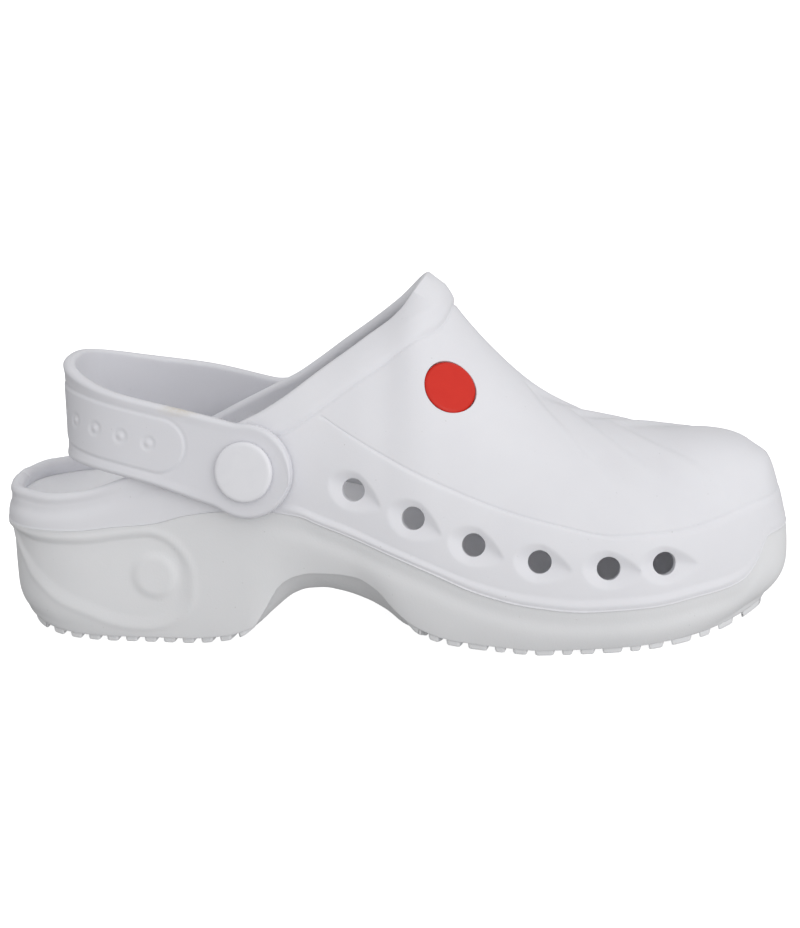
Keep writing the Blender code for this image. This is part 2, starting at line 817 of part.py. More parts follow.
def build_insole(shell):
    normal = outward(BETA)
    flat = np.concatenate([normal, np.zeros((COLUMNS, 1))], axis=1)
    outer, outer_normal = shell.at(shell.parting)
    station = (outer - outer_normal * WALL)[:, 0] / LENGTH
    fillet_top = INSTEP_HEIGHT * floor_share(station) + FLOOR_FILLET
    low = shell.inner_at_height(fillet_top)
    foot = low - flat * (FLOOR_FILLET + SIDE_FIT)
    foot[:, 2] = INSTEP_HEIGHT * floor_share(foot[:, 0] / LENGTH) + FIT
    side = low - flat * SIDE_FIT
    side[:, 2] = fillet_top + 2.0 * FIT
    brow_height = insole_top(station, 1.0)
    brow = shell.inner_at_height(brow_height) - flat * (SIDE_FIT + INSOLE_BEVEL)
    brow[:, 2] = brow_height
    spine = spine_points(lambda place_at: INSTEP_HEIGHT * floor_share(place_at) + FIT)
    top_spine = spine_points(lambda place_at: insole_top(place_at, 0.0))
    rings = [spine, foot, side, brow]
    rings += [between(top_spine, brow, share, insole_top) for share in (0.86, 0.55)]
    rings.append(top_spine)
    verts, faces = loft(rings, False)
    verts, faces = zip_spine(verts, faces, 0, COLUMNS)
    verts, faces = zip_spine(verts, faces, (len(rings) - 1) * COLUMNS, COLUMNS)
    return make_object("insole", place(verts), faces)


def lobe_frame(lateral):
    """Rivet seat on the skin: point, outward normal, strap direction towards the toe, width direction."""
    here, normal, _ = seat(RIVET_PLACE[0], INSTEP_HEIGHT * RIVET_PLACE[1], lateral)
    fore = np.array([1.0, 0.0, -STRAP_TILT])
    fore = fore - np.dot(fore, normal) * normal
    fore = fore / np.linalg.norm(fore)
    wide = np.cross(fore, normal)
    if wide[2] < 0.0:
        wide = -wide
    return here, normal, fore, wide


def strap_path():
    """Middle line of the strap from lobe to lobe round the heel, with width directions and half widths."""
    stand_off = FIT + STRAP_THICKNESS / 2.0
    points = []
    widths = []
    wides = []
    for lateral in (True, False):
        here, normal, fore, wide = lobe_frame(lateral)
        rivet = here + normal * stand_off
        side = -1.0 if lateral else 1.0
        rows = [rivet + fore * LOBE_RADIUS, rivet, rivet - fore * NECK_LENGTH]
        band = [NECK_HALF_WIDTH, NECK_HALF_WIDTH, NECK_HALF_WIDTH]
        lean = [wide, wide, wide]
        for share, station, height, half in reversed(STRAP):
            rows.append(np.array([LENGTH * station, side * BALL_WIDTH * share, INSTEP_HEIGHT * height]))
            band.append(half)
            fade = ramp(share, 0.10, 0.40)
            lean.append(wide * fade + np.array([0.0, 0.0, 1.0]) * (1.0 - fade))
        if not lateral:
            rows = rows[::-1][1:]
            band = band[::-1][1:]
            lean = lean[::-1][1:]
        points += rows
        widths += band
        wides += lean
    points = np.array(points)
    run = np.concatenate([[0.0], np.cumsum(np.linalg.norm(np.diff(points, axis=0), axis=-1))])
    path = [flowing(run, points[:, axis]) for axis in range(3)]
    lean = [flowing(run, np.array(wides)[:, axis]) for axis in range(3)]
    return run, path, lean, flowing(run, widths)


def build_strap():
    run, path, lean, band = strap_path()
    first = run[1]
    last = run[-2]
    cap = LOBE_RADIUS
    end_turns = np.radians([11.0, 24.0, 38.0, 54.0, 72.0, 90.0])
    end = first - cap * np.cos(end_turns)
    shoulder = first + cap * np.cos(np.radians([72.0, 60.0]))
    body = np.linspace(first + LOBE_SHOULDER, last - LOBE_SHOULDER, 23)
    far_shoulder = last - cap * np.cos(np.radians([60.0, 72.0]))
    far_end = last + cap * np.cos(end_turns[::-1])
    stations = np.concatenate([end, shoulder, body, far_shoulder, far_end])
    loops = []
    for s in stations:
        here = np.array([f(s) for f in path])
        ahead = np.array([f(s + 1e-4) for f in path]) - np.array([f(s - 1e-4) for f in path])
        ahead = ahead / np.linalg.norm(ahead)
        wide = np.array([f(s) for f in lean])
        wide = wide - np.dot(wide, ahead) * ahead
        wide = wide / np.linalg.norm(wide)
        thick = np.cross(ahead, wide)
        half = float(band(s))
        for centre in (first, last):
            reach = abs(s - centre)
            outside = (s < first) or (s > last)
            if reach < cap:
                lobe = math.sqrt(cap * cap - reach * reach)
                half = lobe if outside else max(half, lobe)
        thickness = STRAP_THICKNESS / 2.0
        side = 1.0 - STRAP_SOFT_EDGE / half
        corner = 1.0 - STRAP_SOFT_EDGE / thickness
        section = ((-1.0, corner), (-side, 1.0), (0.0, 1.0), (side, 1.0), (1.0, corner))
        section += tuple((-across, -depth) for across, depth in section)
        loop = [here + wide * half * across + thick * thickness * depth for across, depth in section]
        loops.append(loop)
    verts, faces = loft(loops, False)
    count = len(loops[0])
    faces.append(tuple(range(count))[::-1])
    faces.append(tuple((len(loops) - 1) * count + k for k in range(count)))
    return make_object("heel_strap", place(verts), faces)


def lathe(name, profile, point, axis, sides):
    """Solid of revolution; the profile lists radius and distance along the axis, and ends on the axis."""
    turn = Vector(axis).to_track_quat("Z", "Y").to_matrix()
    verts = []
    faces = []
    rings = []
    for radius, along in profile:
        if radius <= 0.0:
            rings.append([len(verts)])
            verts.append(tuple(Vector(point) + turn @ Vector((0.0, 0.0, along))))
            continue
        ring = []
        for k in range(sides):
            a = 2.0 * math.pi * k / sides
            ring.append(len(verts))
            spot = turn @ Vector((radius * math.cos(a), radius * math.sin(a), along))
            verts.append(tuple(Vector(point) + spot))
        rings.append(ring)
    for a, b in zip(rings[:-1], rings[1:]):
        for k in range(sides):
            j = (k + 1) % sides
            if len(a) == 1:
                faces.append((a[0], b[k], b[j]))
            elif len(b) == 1:
                faces.append((a[k], b[0], a[j]))
            else:
                faces.append((a[k], b[k], b[j], a[j]))
    return make_object(name, place(verts), faces)


def cut(target, cutters, operation="DIFFERENCE"):
    """Apply exact Booleans one cutter at a time and remove the cutters."""
    for cutter in cutters:
        cutter.hide_render = True
        cutter.display_type = "WIRE"
        modifier = target.modifiers.new("cut", "BOOLEAN")
        modifier.operation = operation
        modifier.solver = "EXACT"
        modifier.object = cutter
        depsgraph = bpy.context.evaluated_depsgraph_get()
        result = bpy.data.meshes.new_from_object(target.evaluated_get(depsgraph))
        target.modifiers.clear()
        old = target.data
        target.data = result
        bpy.data.meshes.remove(old)
        bpy.data.objects.remove(cutter)


def groove_stations():
    places = []
    for first, last, pitches in GROOVE_ZONES:
        x = first * LENGTH
        k = 0
        while x < last * LENGTH:
            places.append(x)
            x += pitches[k % len(pitches)]
            k += 1
    return places


def box(name, centre, size, turn):
    """Box with its own turn, given as a 3 by 3 matrix."""
    verts = []
    for sx in (-0.5, 0.5):
        for sy in (-0.5, 0.5):
            for sz in (-0.5, 0.5):
                corner = turn @ Vector((sx * size[0], sy * size[1], sz * size[2]))
                verts.append(tuple(Vector(centre) + corner))
    faces = [(0, 1, 3, 2), (4, 6, 7, 5), (0, 4, 5, 1), (2, 3, 7, 6), (0, 2, 6, 4), (1, 5, 7, 3)]
    return make_object(name, place(verts), faces)


def groove_cutter(x):
    """Cross groove of the tread, tipped to follow the toe spring or the heel rounding."""
    small = 0.004
    slope = (tread_middle((x + small) / LENGTH) - tread_middle((x - small) / LENGTH)) / (2.0 * small)
    turn = Matrix.Rotation(-math.atan(slope), 3, "Y")
    deep = 0.020
    top = Vector((x, 0.0, float(tread_middle(x / LENGTH))))
    centre = top + turn @ Vector((0.0, 0.0, GROOVE_DEPTH - deep / 2.0))
    return box("groove_cutter", centre, (GROOVE_WIDTH, 2.0 * BALL_WIDTH, deep), turn)


def channel_cutter(y, first, last):
    """Channel along the tread at one sideways place, following the height of the tread."""
    stations = np.linspace(first, last, 1 + max(2, int((last - first) / 0.009)))
    loops = []
    for x in stations:
        top = float(tread_middle(x / LENGTH)) + CHANNEL_DEPTH
        left = y - CHANNEL_WIDTH / 2.0
        right = y + CHANNEL_WIDTH / 2.0
        loops.append([(x, left, top), (x, right, top), (x, right, -0.02), (x, left, -0.02)])
    verts, faces = loft(loops, False)
    faces.append((3, 2, 1, 0))
    faces.append(tuple(len(verts) - 4 + k for k in range(4)))
    return make_object("channel_cutter", place(verts), faces)


def channel_cutters():
    cutters = []
    places = groove_stations()
    for first, last, _ in GROOVE_ZONES:
        zone = [x for x in places if first * LENGTH - 1e-9 <= x <= last * LENGTH]
        for share in CHANNEL_SHARES:
            y = share * BALL_WIDTH + float(middle((zone[0] + zone[-1]) / 2.0 / LENGTH))
            cutters.append(channel_cutter(y, zone[0], zone[-1]))
    return cutters


def round_cutter(name, point, axis, radius, deep, high, sides):
    start = np.asarray(point) - np.asarray(axis) * deep
    profile = ((0.0, 0.0), (radius, 0.0), (radius, deep + high), (0.0, deep + high))
    return lathe(name, profile, start, axis, sides)


def recess_cutter(point, normal, fore):
    """Flattened egg that sinks a shallow hollow round a vent, longer towards the toe."""
    along = fore - np.dot(fore, normal) * normal
    along = along / np.linalg.norm(along)
    wide = np.cross(normal, along)
    centre = point + along * RECESS_SHIFT + normal * (RECESS_DEPTH - RECESS_SINK)
    turns = 10
    bands = 5
    loops = []
    for k in range(1, bands):
        a = math.pi * k / bands
        loop = []
        for i in range(turns):
            b = 2.0 * math.pi * i / turns
            reach = math.sin(a)
            spot = along * RECESS_LENGTH * reach * math.cos(b) + wide * RECESS_HEIGHT * reach * math.sin(b)
            loop.append(centre + spot + normal * RECESS_DEPTH * math.cos(a))
        loops.append(loop)
    verts, faces = loft(loops, False)
    verts.append(tuple(centre + normal * RECESS_DEPTH))
    verts.append(tuple(centre - normal * RECESS_DEPTH))
    top = len(verts) - 2
    bottom = len(verts) - 1
    for i in range(turns):
        j = (i + 1) % turns
        faces.append((top, j, i))
        faces.append((bottom, (bands - 2) * turns + i, (bands - 2) * turns + j))
    return make_object("recess_cutter", place(verts), faces)


def vent_cutters():
    seats = [seat(station, INSTEP_HEIGHT * height, True) for station, height in VENTS]
    cutters = []
    for k, (point, normal, _) in enumerate(seats):
        ahead = seats[min(k + 1, len(seats) - 1)][0] - seats[max(k - 1, 0)][0]
        cutters.append(recess_cutter(point, normal, ahead))
    for point, normal, _ in seats:
        vent = round_cutter("vent_cutter", point, normal, VENT_RADIUS, HOLE_DEPTH, HOLE_ABOVE, VENT_SIDES)
        cutters.append(vent)
    return cutters


def build_rivet(side_name, lateral):
    """Cap and post in one piece outside, flat head inside the wall."""
    here, normal, _, _ = lobe_frame(lateral)
    under_cap = STRAP_THICKNESS + 2.0 * FIT
    top = under_cap + CAP_THICKNESS
    profile = (
        (0.0, -WALL),
        (POST_RADIUS, -WALL),
        (POST_RADIUS, under_cap),
        (CAP_RADIUS - 0.0003, under_cap),
        (CAP_RADIUS, under_cap + 0.0004),
        (CAP_RADIUS, top - CAP_EDGE),
        (CAP_RADIUS - 0.6 * CAP_EDGE, top - 0.35 * CAP_EDGE),
        (CAP_RADIUS - 1.8 * CAP_EDGE, top),
        (0.0, top + 0.0002),
    )
    cap = lathe("rivet_" + side_name, profile, here, normal, ROUND_SIDES)
    low = -WALL - BACK_FIT - BACK_THICKNESS
    back_profile = (
        (0.0, low),
        (BACK_RADIUS - 0.0008, low),
        (BACK_RADIUS, low + 0.0007),
        (BACK_RADIUS, -WALL - BACK_FIT),
        (0.0, -WALL - BACK_FIT),
    )
    back = lathe("rivet_back_" + side_name, back_profile, here, normal, ROUND_SIDES // 2)
    return cap, back


def button_seat():
    return seat(BUTTON_PLACE[0], INSTEP_HEIGHT * BUTTON_PLACE[1], True)


def build_button():
    here, normal, _ = button_seat()
    low = FIT - BUTTON_POCKET
    profile = (
        (0.0, low),
        (BUTTON_RADIUS - 0.0004, low),
        (BUTTON_RADIUS, low + 0.0003),
        (BUTTON_RADIUS, low + BUTTON_EDGE),
        (BUTTON_RADIUS - 0.0008, low + BUTTON_EDGE + 0.0004),
        (0.55 * BUTTON_RADIUS, low + 0.9 * BUTTON_THICKNESS),
        (0.0, low + BUTTON_THICKNESS),
    )
    return lathe("button", profile, here, normal, ROUND_SIDES)


def boss(lateral):
    """Low round boss on the side of the heel."""
    station = BOSS_STATION
    beta = math.acos(1.0 - 2.0 * station)
    if not lateral:
        beta = 2.0 * math.pi - beta
    plan = outline(np.array(beta))
    normal = outward(np.array(beta))
    point = np.array([plan[0], plan[1], BOSS_HEIGHT])
    axis = np.array([normal[0], normal[1], 0.0])
    profile = (
        (0.0, -BOSS_ROOT),
        (BOSS_RADIUS, -BOSS_ROOT),
        (BOSS_RADIUS, BOSS_RISE / 2.0),
        (BOSS_RADIUS - BOSS_RISE, BOSS_RISE),
        (0.0, BOSS_RISE),
    )
    return lathe("boss", profile, point, axis, 20)


def paint(thing, name, colour, rough, coat):
    material = bpy.data.materials.new(name)
    material.use_nodes = True
    shader = material.node_tree.nodes["Principled BSDF"]
    shader.inputs["Base Color"].default_value = (*colour, 1.0)
    shader.inputs["Roughness"].default_value = rough
    shader.inputs["Coat Weight"].default_value = coat
    thing.data.materials.clear()
    thing.data.materials.append(material)


BETA = column_angles(COLUMNS)


def main():
    for thing in list(bpy.data.objects):
        bpy.data.objects.remove(thing)
    shell = Skin(BETA)
    upper = build_upper(shell)
    sole = build_sole(shell)
    insole = build_insole(shell)
    strap = build_strap()
    cut(sole, [groove_cutter(x) for x in groove_stations()])
    cut(sole, channel_cutters())
    cut(sole, [boss(True), boss(False)], "UNION")
    cut(upper, vent_cutters())
    centre, axis, _ = button_seat()
    pocket_radius = BUTTON_RADIUS + FIT
    pocket = ("pocket_cutter", centre, axis, pocket_radius, BUTTON_POCKET, HOLE_ABOVE, ROUND_SIDES)
    cut(upper, [round_cutter(*pocket)])
    caps = []
    for side_name, lateral in (("lateral", True), ("medial", False)):
        here, normal, _, _ = lobe_frame(lateral)
        for target in (upper, strap):
            hole = ("hole_cutter", here, normal, POST_RADIUS + FIT, HOLE_DEPTH, HOLE_ABOVE, ROUND_SIDES)
            cut(target, [round_cutter(*hole)])
        caps += build_rivet(side_name, lateral)
    button = build_button()
    paint(upper, "white moulded foam of the upper", (0.74, 0.74, 0.76), 0.55, 0.0)
    paint(sole, "white moulded foam of the sole", (0.68, 0.68, 0.69), 0.60, 0.0)
    paint(insole, "white footbed foam", (0.76, 0.76, 0.76), 0.70, 0.0)
    paint(strap, "white strap foam", (0.72, 0.72, 0.74), 0.55, 0.0)
    for number, cap in enumerate(caps):
        paint(cap, "white hard plastic %d" % (number + 1), (0.80, 0.80, 0.80), 0.35, 0.2)
    paint(button, "orange red soft plastic", (0.72, 0.04, 0.01), 0.40, 0.1)


main()
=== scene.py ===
import math

import bpy
import numpy as np
from mathutils import Matrix


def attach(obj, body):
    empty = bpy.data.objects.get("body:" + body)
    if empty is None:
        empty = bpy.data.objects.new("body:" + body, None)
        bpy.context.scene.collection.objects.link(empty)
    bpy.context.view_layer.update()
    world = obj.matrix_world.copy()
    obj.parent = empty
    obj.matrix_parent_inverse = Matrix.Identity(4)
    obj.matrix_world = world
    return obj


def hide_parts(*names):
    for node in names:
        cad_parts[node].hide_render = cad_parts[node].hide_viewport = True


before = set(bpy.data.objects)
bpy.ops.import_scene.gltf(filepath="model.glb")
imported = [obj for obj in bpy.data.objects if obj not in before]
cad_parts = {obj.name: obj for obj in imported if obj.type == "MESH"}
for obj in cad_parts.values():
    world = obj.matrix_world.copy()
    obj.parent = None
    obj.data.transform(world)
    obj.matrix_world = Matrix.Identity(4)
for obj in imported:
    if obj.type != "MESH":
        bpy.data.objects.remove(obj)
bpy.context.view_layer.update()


# Sole: the tray that the foot sits in, moulded in closed-cell EVA foam together with the upper, in one shot. Its
# wall rises to the parting line of the mould, where a thin flash is left. Heel and forefoot stand on small square
# lugs, and the arch between them is bare and rounded.
# Lengths are metres, and a station is a share of LENGTH from the heel. A pair says where a form starts and where
# it is full, or its place and its reach.
LENGTH = 0.275
BALL_WIDTH = 0.102
INSTEP_HEIGHT = 0.124
WALL = 0.004
SEAM = 0.00005
EDGE_ROUND = 0.0005
LUG_HEIGHT = 0.0023
LUG_INSET = 0.0012
ARCH_BEVEL = 0.0008
GROOVE_WIDTH = 0.0025
GROOVE_DEPTH = 0.0020
CHANNEL_WIDTH = 0.0030
CHANNEL_SHARES = (-0.16, 0.16)
FLOOR_FILLET = 0.0030
SPINE_HEEL = 0.026
SPINE_TOE = 0.246
RIM_BACK = 0.0045
PEAK_BACK = 0.1515
LEDGE_DEPTH = 0.0017
LEDGE_AT_SIDE = 0.12
LEDGE_ARC = (0.020, 0.060)
LEDGE_FALL = (0.0004, 0.0050)
LEDGE_LOW = (0.018, 0.034)
LEDGE_END = (0.24, 0.34)
COVE_DEPTH = 0.0006
COVE_PLACE = (0.0050, 0.0032)
COVE_START = (0.33, 0.42)
COVE_END = (0.93, 0.99)
PANEL_DEPTH = 0.00055
PANEL_UPPER = (0.024, 0.034)
PANEL_EDGE = 0.0003
PANEL_SOFT_LOW = 0.0040
PANEL_SOFT_HIGH = 0.0014
PANEL_LIP = 0.0004
PANEL_LIP_WIDTH = 0.0012
BOSS_RADIUS = 0.0093
BOSS_RISE = 0.0009
BOSS_FLAT = 0.62
BOSS_ARC = 0.0797
BOSS_HEIGHT = 0.0252
SOLE_FLASH = 0.0002
SOLE_FLASH_WIDTH = 0.0004
ARCH_ROUND = 0.0048
CURL_BULGE = 0.0002
ARCH_START = (0.322, 0.345)
ARCH_STOP = (0.520, 0.556)
COLLAR_SPREAD = 1.9
END_EASE = 0.004
WALL_SAMPLES = 90
CROWN_SAMPLES = 260
INNER_SAMPLES = 180
WALL_BUNCHING = 1.3
CROWN_BUNCHING = 1.2
RIM_SHARE = 0.86
RELIEF_START = 0.10
TREAD_SAG = 2.5

# station, lateral fullness, medial fullness: half width over BALL_WIDTH and over an ellipse as long as the shoe
OUTLINE = (
    (0.000, 0.700, 0.700), (0.008, 0.702, 0.702), (0.033, 0.668, 0.668), (0.080, 0.578, 0.572),
    (0.153, 0.482, 0.466), (0.240, 0.428, 0.398), (0.331, 0.424, 0.376), (0.418, 0.440, 0.389),
    (0.509, 0.475, 0.417), (0.600, 0.515, 0.470), (0.691, 0.552, 0.541), (0.782, 0.587, 0.617),
    (0.865, 0.611, 0.682), (0.931, 0.605, 0.715), (0.975, 0.590, 0.705), (1.000, 0.600, 0.690),
)

# station, height of the crown over INSTEP_HEIGHT; behind the peak it is the surface that the collar edge lies on
CROWN = (
    (0.016, 0.434), (0.044, 0.468), (0.076, 0.508), (0.120, 0.565), (0.207, 0.702), (0.273, 0.782),
    (0.331, 0.835), (0.385, 0.861), (0.436, 0.879), (0.484, 0.908), (0.531, 0.966), (0.551, 0.992),
    (0.573, 0.960), (0.588, 0.910), (0.609, 0.846), (0.639, 0.768), (0.668, 0.702), (0.697, 0.650),
    (0.727, 0.612), (0.757, 0.588), (0.802, 0.564), (0.847, 0.550), (0.892, 0.544), (0.922, 0.535),
    (0.951, 0.512), (0.967, 0.489), (0.982, 0.447), (0.993, 0.352),
)
CROWN_HEEL_END = 0.42
CROWN_TOE_END = 0.56

# station, height of the widest line, parting line between sole and upper, sharpness of the section
SIDES = (
    (0.000, 0.325, 0.323, 2.30), (0.110, 0.325, 0.327, 2.30), (0.164, 0.336, 0.341, 2.30),
    (0.218, 0.354, 0.353, 2.30), (0.262, 0.375, 0.379, 2.30), (0.310, 0.391, 0.394, 2.30),
    (0.364, 0.395, 0.398, 2.30), (0.411, 0.383, 0.389, 2.25), (0.436, 0.367, 0.368, 2.20),
    (0.480, 0.335, 0.333, 2.10), (0.527, 0.294, 0.289, 1.85), (0.575, 0.254, 0.245, 1.75),
    (0.636, 0.210, 0.188, 1.85), (0.698, 0.181, 0.152, 2.05), (0.771, 0.165, 0.134, 2.25),
    (0.840, 0.169, 0.136, 2.35), (0.898, 0.190, 0.152, 2.40), (0.935, 0.210, 0.163, 2.40),
    (0.953, 0.222, 0.178, 2.40), (0.968, 0.231, 0.222, 2.40), (0.980, 0.237, 0.280, 2.40),
    (1.000, 0.242, 0.284, 2.40),
)

# station, lateral and medial height of the collar edge over INSTEP_HEIGHT
COLLAR = (
    (0.000, 0.431, 0.431), (0.044, 0.428, 0.440), (0.076, 0.429, 0.443), (0.120, 0.440, 0.452),
    (0.149, 0.456, 0.465), (0.178, 0.479, 0.485), (0.207, 0.506, 0.509), (0.236, 0.533, 0.533),
    (0.284, 0.587, 0.587), (0.332, 0.640, 0.640), (0.364, 0.674, 0.674), (0.387, 0.704, 0.707),
    (0.433, 0.774, 0.781), (0.487, 0.852, 0.867), (0.531, 0.920, 0.945), (0.551, 0.992, 0.992),
)

# station, tread height at the edge and along the middle, in metres: heel rounding, arch and toe spring
TREAD = (
    (0.000, 0.0045, 0.0045), (0.030, 0.0036, 0.0034), (0.055, 0.0022, 0.0020), (0.080, 0.0010, 0.0008),
    (0.115, 0.0002, 0.0001), (0.150, 0.0000, 0.0000), (0.250, 0.0000, 0.0000), (0.285, 0.0008, 0.0000),
    (0.315, 0.0024, 0.0004), (0.336, 0.0054, 0.0038), (0.353, 0.0118, 0.0074), (0.378, 0.0222, 0.0122),
    (0.398, 0.0254, 0.0140), (0.420, 0.0267, 0.0143), (0.445, 0.0268, 0.0130), (0.475, 0.0260, 0.0100),
    (0.501, 0.0220, 0.0062), (0.524, 0.0150, 0.0018), (0.550, 0.0080, 0.0000), (0.587, 0.0040, 0.0000),
    (0.620, 0.0025, 0.0000), (0.660, 0.0012, 0.0000), (0.710, 0.0000, 0.0000), (0.820, 0.0000, 0.0000),
    (0.860, 0.0006, 0.0006), (0.898, 0.0018, 0.0018), (0.945, 0.0050, 0.0050), (0.970, 0.0075, 0.0075),
    (1.000, 0.0092, 0.0092),
)

# station, inset of the wall's foot in metres, how low the wall's foot is rounded
WALL_FOOT = (
    (0.000, 0.0060, 7.0), (0.150, 0.0035, 6.0), (0.300, 0.0030, 4.0), (0.420, 0.0030, 2.2),
    (0.550, 0.0035, 2.4), (0.730, 0.0045, 2.8), (0.930, 0.0060, 3.2), (1.000, 0.0070, 3.5),
)

# station, height of the tray floor over INSTEP_HEIGHT
FLOOR = (
    (0.000, 0.252), (0.220, 0.250), (0.330, 0.258), (0.420, 0.270), (0.475, 0.262), (0.510, 0.238),
    (0.560, 0.190), (0.620, 0.145), (0.700, 0.117), (0.780, 0.108), (0.900, 0.118), (1.000, 0.140),
)

# first station, last station, pitches repeated along the zone in metres
GROOVE_ZONES = (
    (0.0640, 0.3250, (0.0069,)),
    (0.5620, 0.9550, (0.0061, 0.0074, 0.0091)),
)

# border of the sunk field on the side of the heel, in metres: distance round the outline from the heel, height
HEEL_FIELD = (
    (0.0120, 0.0370), (0.0200, 0.0380), (0.0281, 0.0374), (0.0335, 0.0366), (0.0396, 0.0364), (0.0458, 0.0365),
    (0.0574, 0.0373), (0.0677, 0.0389), (0.0760, 0.0398), (0.0805, 0.0396), (0.0850, 0.0377), (0.0895, 0.0334),
    (0.0922, 0.0277), (0.0924, 0.0213), (0.0912, 0.0155), (0.0858, 0.0101), (0.0765, 0.0070), (0.0653, 0.0078),
    (0.0551, 0.0115), (0.0433, 0.0160), (0.0361, 0.0206), (0.0309, 0.0241), (0.0267, 0.0285), (0.0190, 0.0340),
)


def ramp(x, start, end):
    """Smooth step: 0 up to start, 1 from end, 3t^2 - 2t^3 between."""
    t = np.clip((x - start) / (end - start), 0.0, 1.0)
    return t * t * (3.0 - 2.0 * t)


def hump(x, middle_at, reach):
    """Bell curve exp(-((x - middle) / reach)^2)."""
    return np.exp(-(((x - middle_at) / reach) ** 2))


def unit(vectors):
    """Vectors brought to length 1."""
    return vectors / np.linalg.norm(vectors, axis=-1, keepdims=True)


def square_to(vectors, normals):
    """Unit vectors with their share along the normals taken away."""
    return unit(vectors - np.sum(vectors * normals, axis=-1, keepdims=True) * normals)


def steady(rows, column):
    """Cubic through a table's rows without overshoot: slopes are weighted harmonic means of chords."""
    xs = np.array([row[0] for row in rows])
    ys = np.array([row[column] for row in rows])
    h = np.diff(xs)
    chord = np.diff(ys) / h
    before = 2.0 * h[1:] + h[:-1]
    after = h[1:] + 2.0 * h[:-1]
    safe = np.where(chord == 0.0, 1.0, chord)
    inner = (before + after) / (before / safe[:-1] + after / safe[1:])
    slope = np.concatenate([chord[:1], np.where(chord[:-1] * chord[1:] > 0.0, inner, 0.0), chord[-1:]])

    def value(x):
        x = np.clip(x, xs[0], xs[-1])
        k = np.clip(np.searchsorted(xs, x) - 1, 0, len(h) - 1)
        t = (x - xs[k]) / h[k]
        rise = (1.0 - t) * slope[k] - t * slope[k + 1] + (2.0 * t - 1.0) * chord[k]
        return ys[k] * (1.0 - t) + ys[k + 1] * t + h[k] * t * (1.0 - t) * rise

    return value


def flowing(xs, ys):
    """Natural cubic spline: second derivatives from one linear system, zero at both ends."""
    xs = np.asarray(xs, float)
    ys = np.asarray(ys, float)
    h = np.diff(xs)
    chord = np.diff(ys) / h
    system = np.diag(np.concatenate([[1.0], 2.0 * (h[:-1] + h[1:]), [1.0]]))
    system += np.diag(np.concatenate([h[:-1], [0.0]]), -1) + np.diag(np.concatenate([[0.0], h[1:]]), 1)
    bend = np.linalg.solve(system, np.concatenate([[0.0], 6.0 * np.diff(chord), [0.0]]))

    def value(x):
        x = np.clip(x, xs[0], xs[-1])
        k = np.clip(np.searchsorted(xs, x) - 1, 0, len(h) - 1)
        a = (xs[k + 1] - x) / h[k]
        b = (x - xs[k]) / h[k]
        lift = ((a ** 3 - a) * bend[k] + (b ** 3 - b) * bend[k + 1]) * h[k] ** 2 / 6.0
        return a * ys[k] + b * ys[k + 1] + lift

    return value


def column_of(rows, column):
    return [row[column] for row in rows]


def ellipse(station):
    """Height 2 sqrt(s (1 - s)) of an ellipse of unit half height over stations 0 to 1."""
    return np.sqrt(np.clip(4.0 * station * (1.0 - station), 0.0, 1.0))


belt_share = steady(SIDES, 1)
parting_share = steady(SIDES, 2)
sharpness = steady(SIDES, 3)
collar_lateral = steady(COLLAR, 1)
collar_medial = steady(COLLAR, 2)
floor_share = steady(FLOOR, 1)
tread_edge = steady(TREAD, 1)
tread_middle = steady(TREAD, 2)
foot_inset = steady(WALL_FOOT, 1)
foot_round = steady(WALL_FOOT, 2)
lateral_fullness = flowing(column_of(OUTLINE, 0), column_of(OUTLINE, 1))
medial_fullness = flowing(column_of(OUTLINE, 0), column_of(OUTLINE, 2))
crown_rows = np.array(CROWN)
crown_shares = (crown_rows[:, 1] - belt_share(crown_rows[:, 0])) / ellipse(crown_rows[:, 0])
crown_share = flowing(
    np.concatenate([[0.0], crown_rows[:, 0], [1.0]]),
    np.concatenate([[CROWN_HEEL_END], crown_shares, [CROWN_TOE_END]]),
)


def half_width(station, lateral):
    """Half width of the widest line: BALL_WIDTH x fullness x ellipse."""
    fullness = np.where(lateral, lateral_fullness(station), medial_fullness(station))
    return BALL_WIDTH * fullness * ellipse(station)


def crown_rise(station):
    return INSTEP_HEIGHT * crown_share(station) * ellipse(station)


def middle(station):
    """Sideways place of the middle of the shoe."""
    return (half_width(station, False) - half_width(station, True)) / 2.0


def floor_height(station, share=0.0):
    """Height of the tray floor, the same at every share of the way from the middle line to the edge."""
    return INSTEP_HEIGHT * floor_share(station)


def skin(station, climb, lateral):
    """Outer skin above the widest line: y = side w cos(c)^(2/n), z = belt + rise sin(c)^(2/n)."""
    power = 2.0 / sharpness(station)
    side = np.where(lateral, -1.0, 1.0)
    y = side * half_width(station, lateral) * np.clip(np.cos(climb), 0.0, 1.0) ** power
    z = INSTEP_HEIGHT * belt_share(station) + crown_rise(station) * np.clip(np.sin(climb), 0.0, 1.0) ** power
    return np.stack([LENGTH * station + 0.0 * y, y, z], axis=-1)


def climb_at(station, height):
    """Climb angle where the skin passes a height: arcsin of share^(n/2)."""
    over = height - INSTEP_HEIGHT * belt_share(station)
    share = np.clip(over / np.maximum(crown_rise(station), 1e-6), 0.0, 1.0)
    return np.arcsin(share ** (sharpness(station) / 2.0))


def outline(beta):
    """Widest line from above: station (1 - cos beta) / 2, beta from the heel round by the lateral side."""
    station = (1.0 - np.cos(beta)) / 2.0
    lateral = np.sin(beta) > 0.0
    y = np.where(lateral, -1.0, 1.0) * half_width(station, lateral)
    return np.stack([LENGTH * station, y], axis=-1)


def outward(beta):
    """Unit normal of the outline seen from above."""
    along = outline(beta + 1e-4) - outline(beta - 1e-4)
    normal = np.stack([along[..., 1], -along[..., 0]], axis=-1)
    return unit(normal)


def in_tread(station):
    """1 where the tread has lugs, 0 in the arch."""
    return 1.0 - ramp(station, *ARCH_START) * (1.0 - ramp(station, *ARCH_STOP))


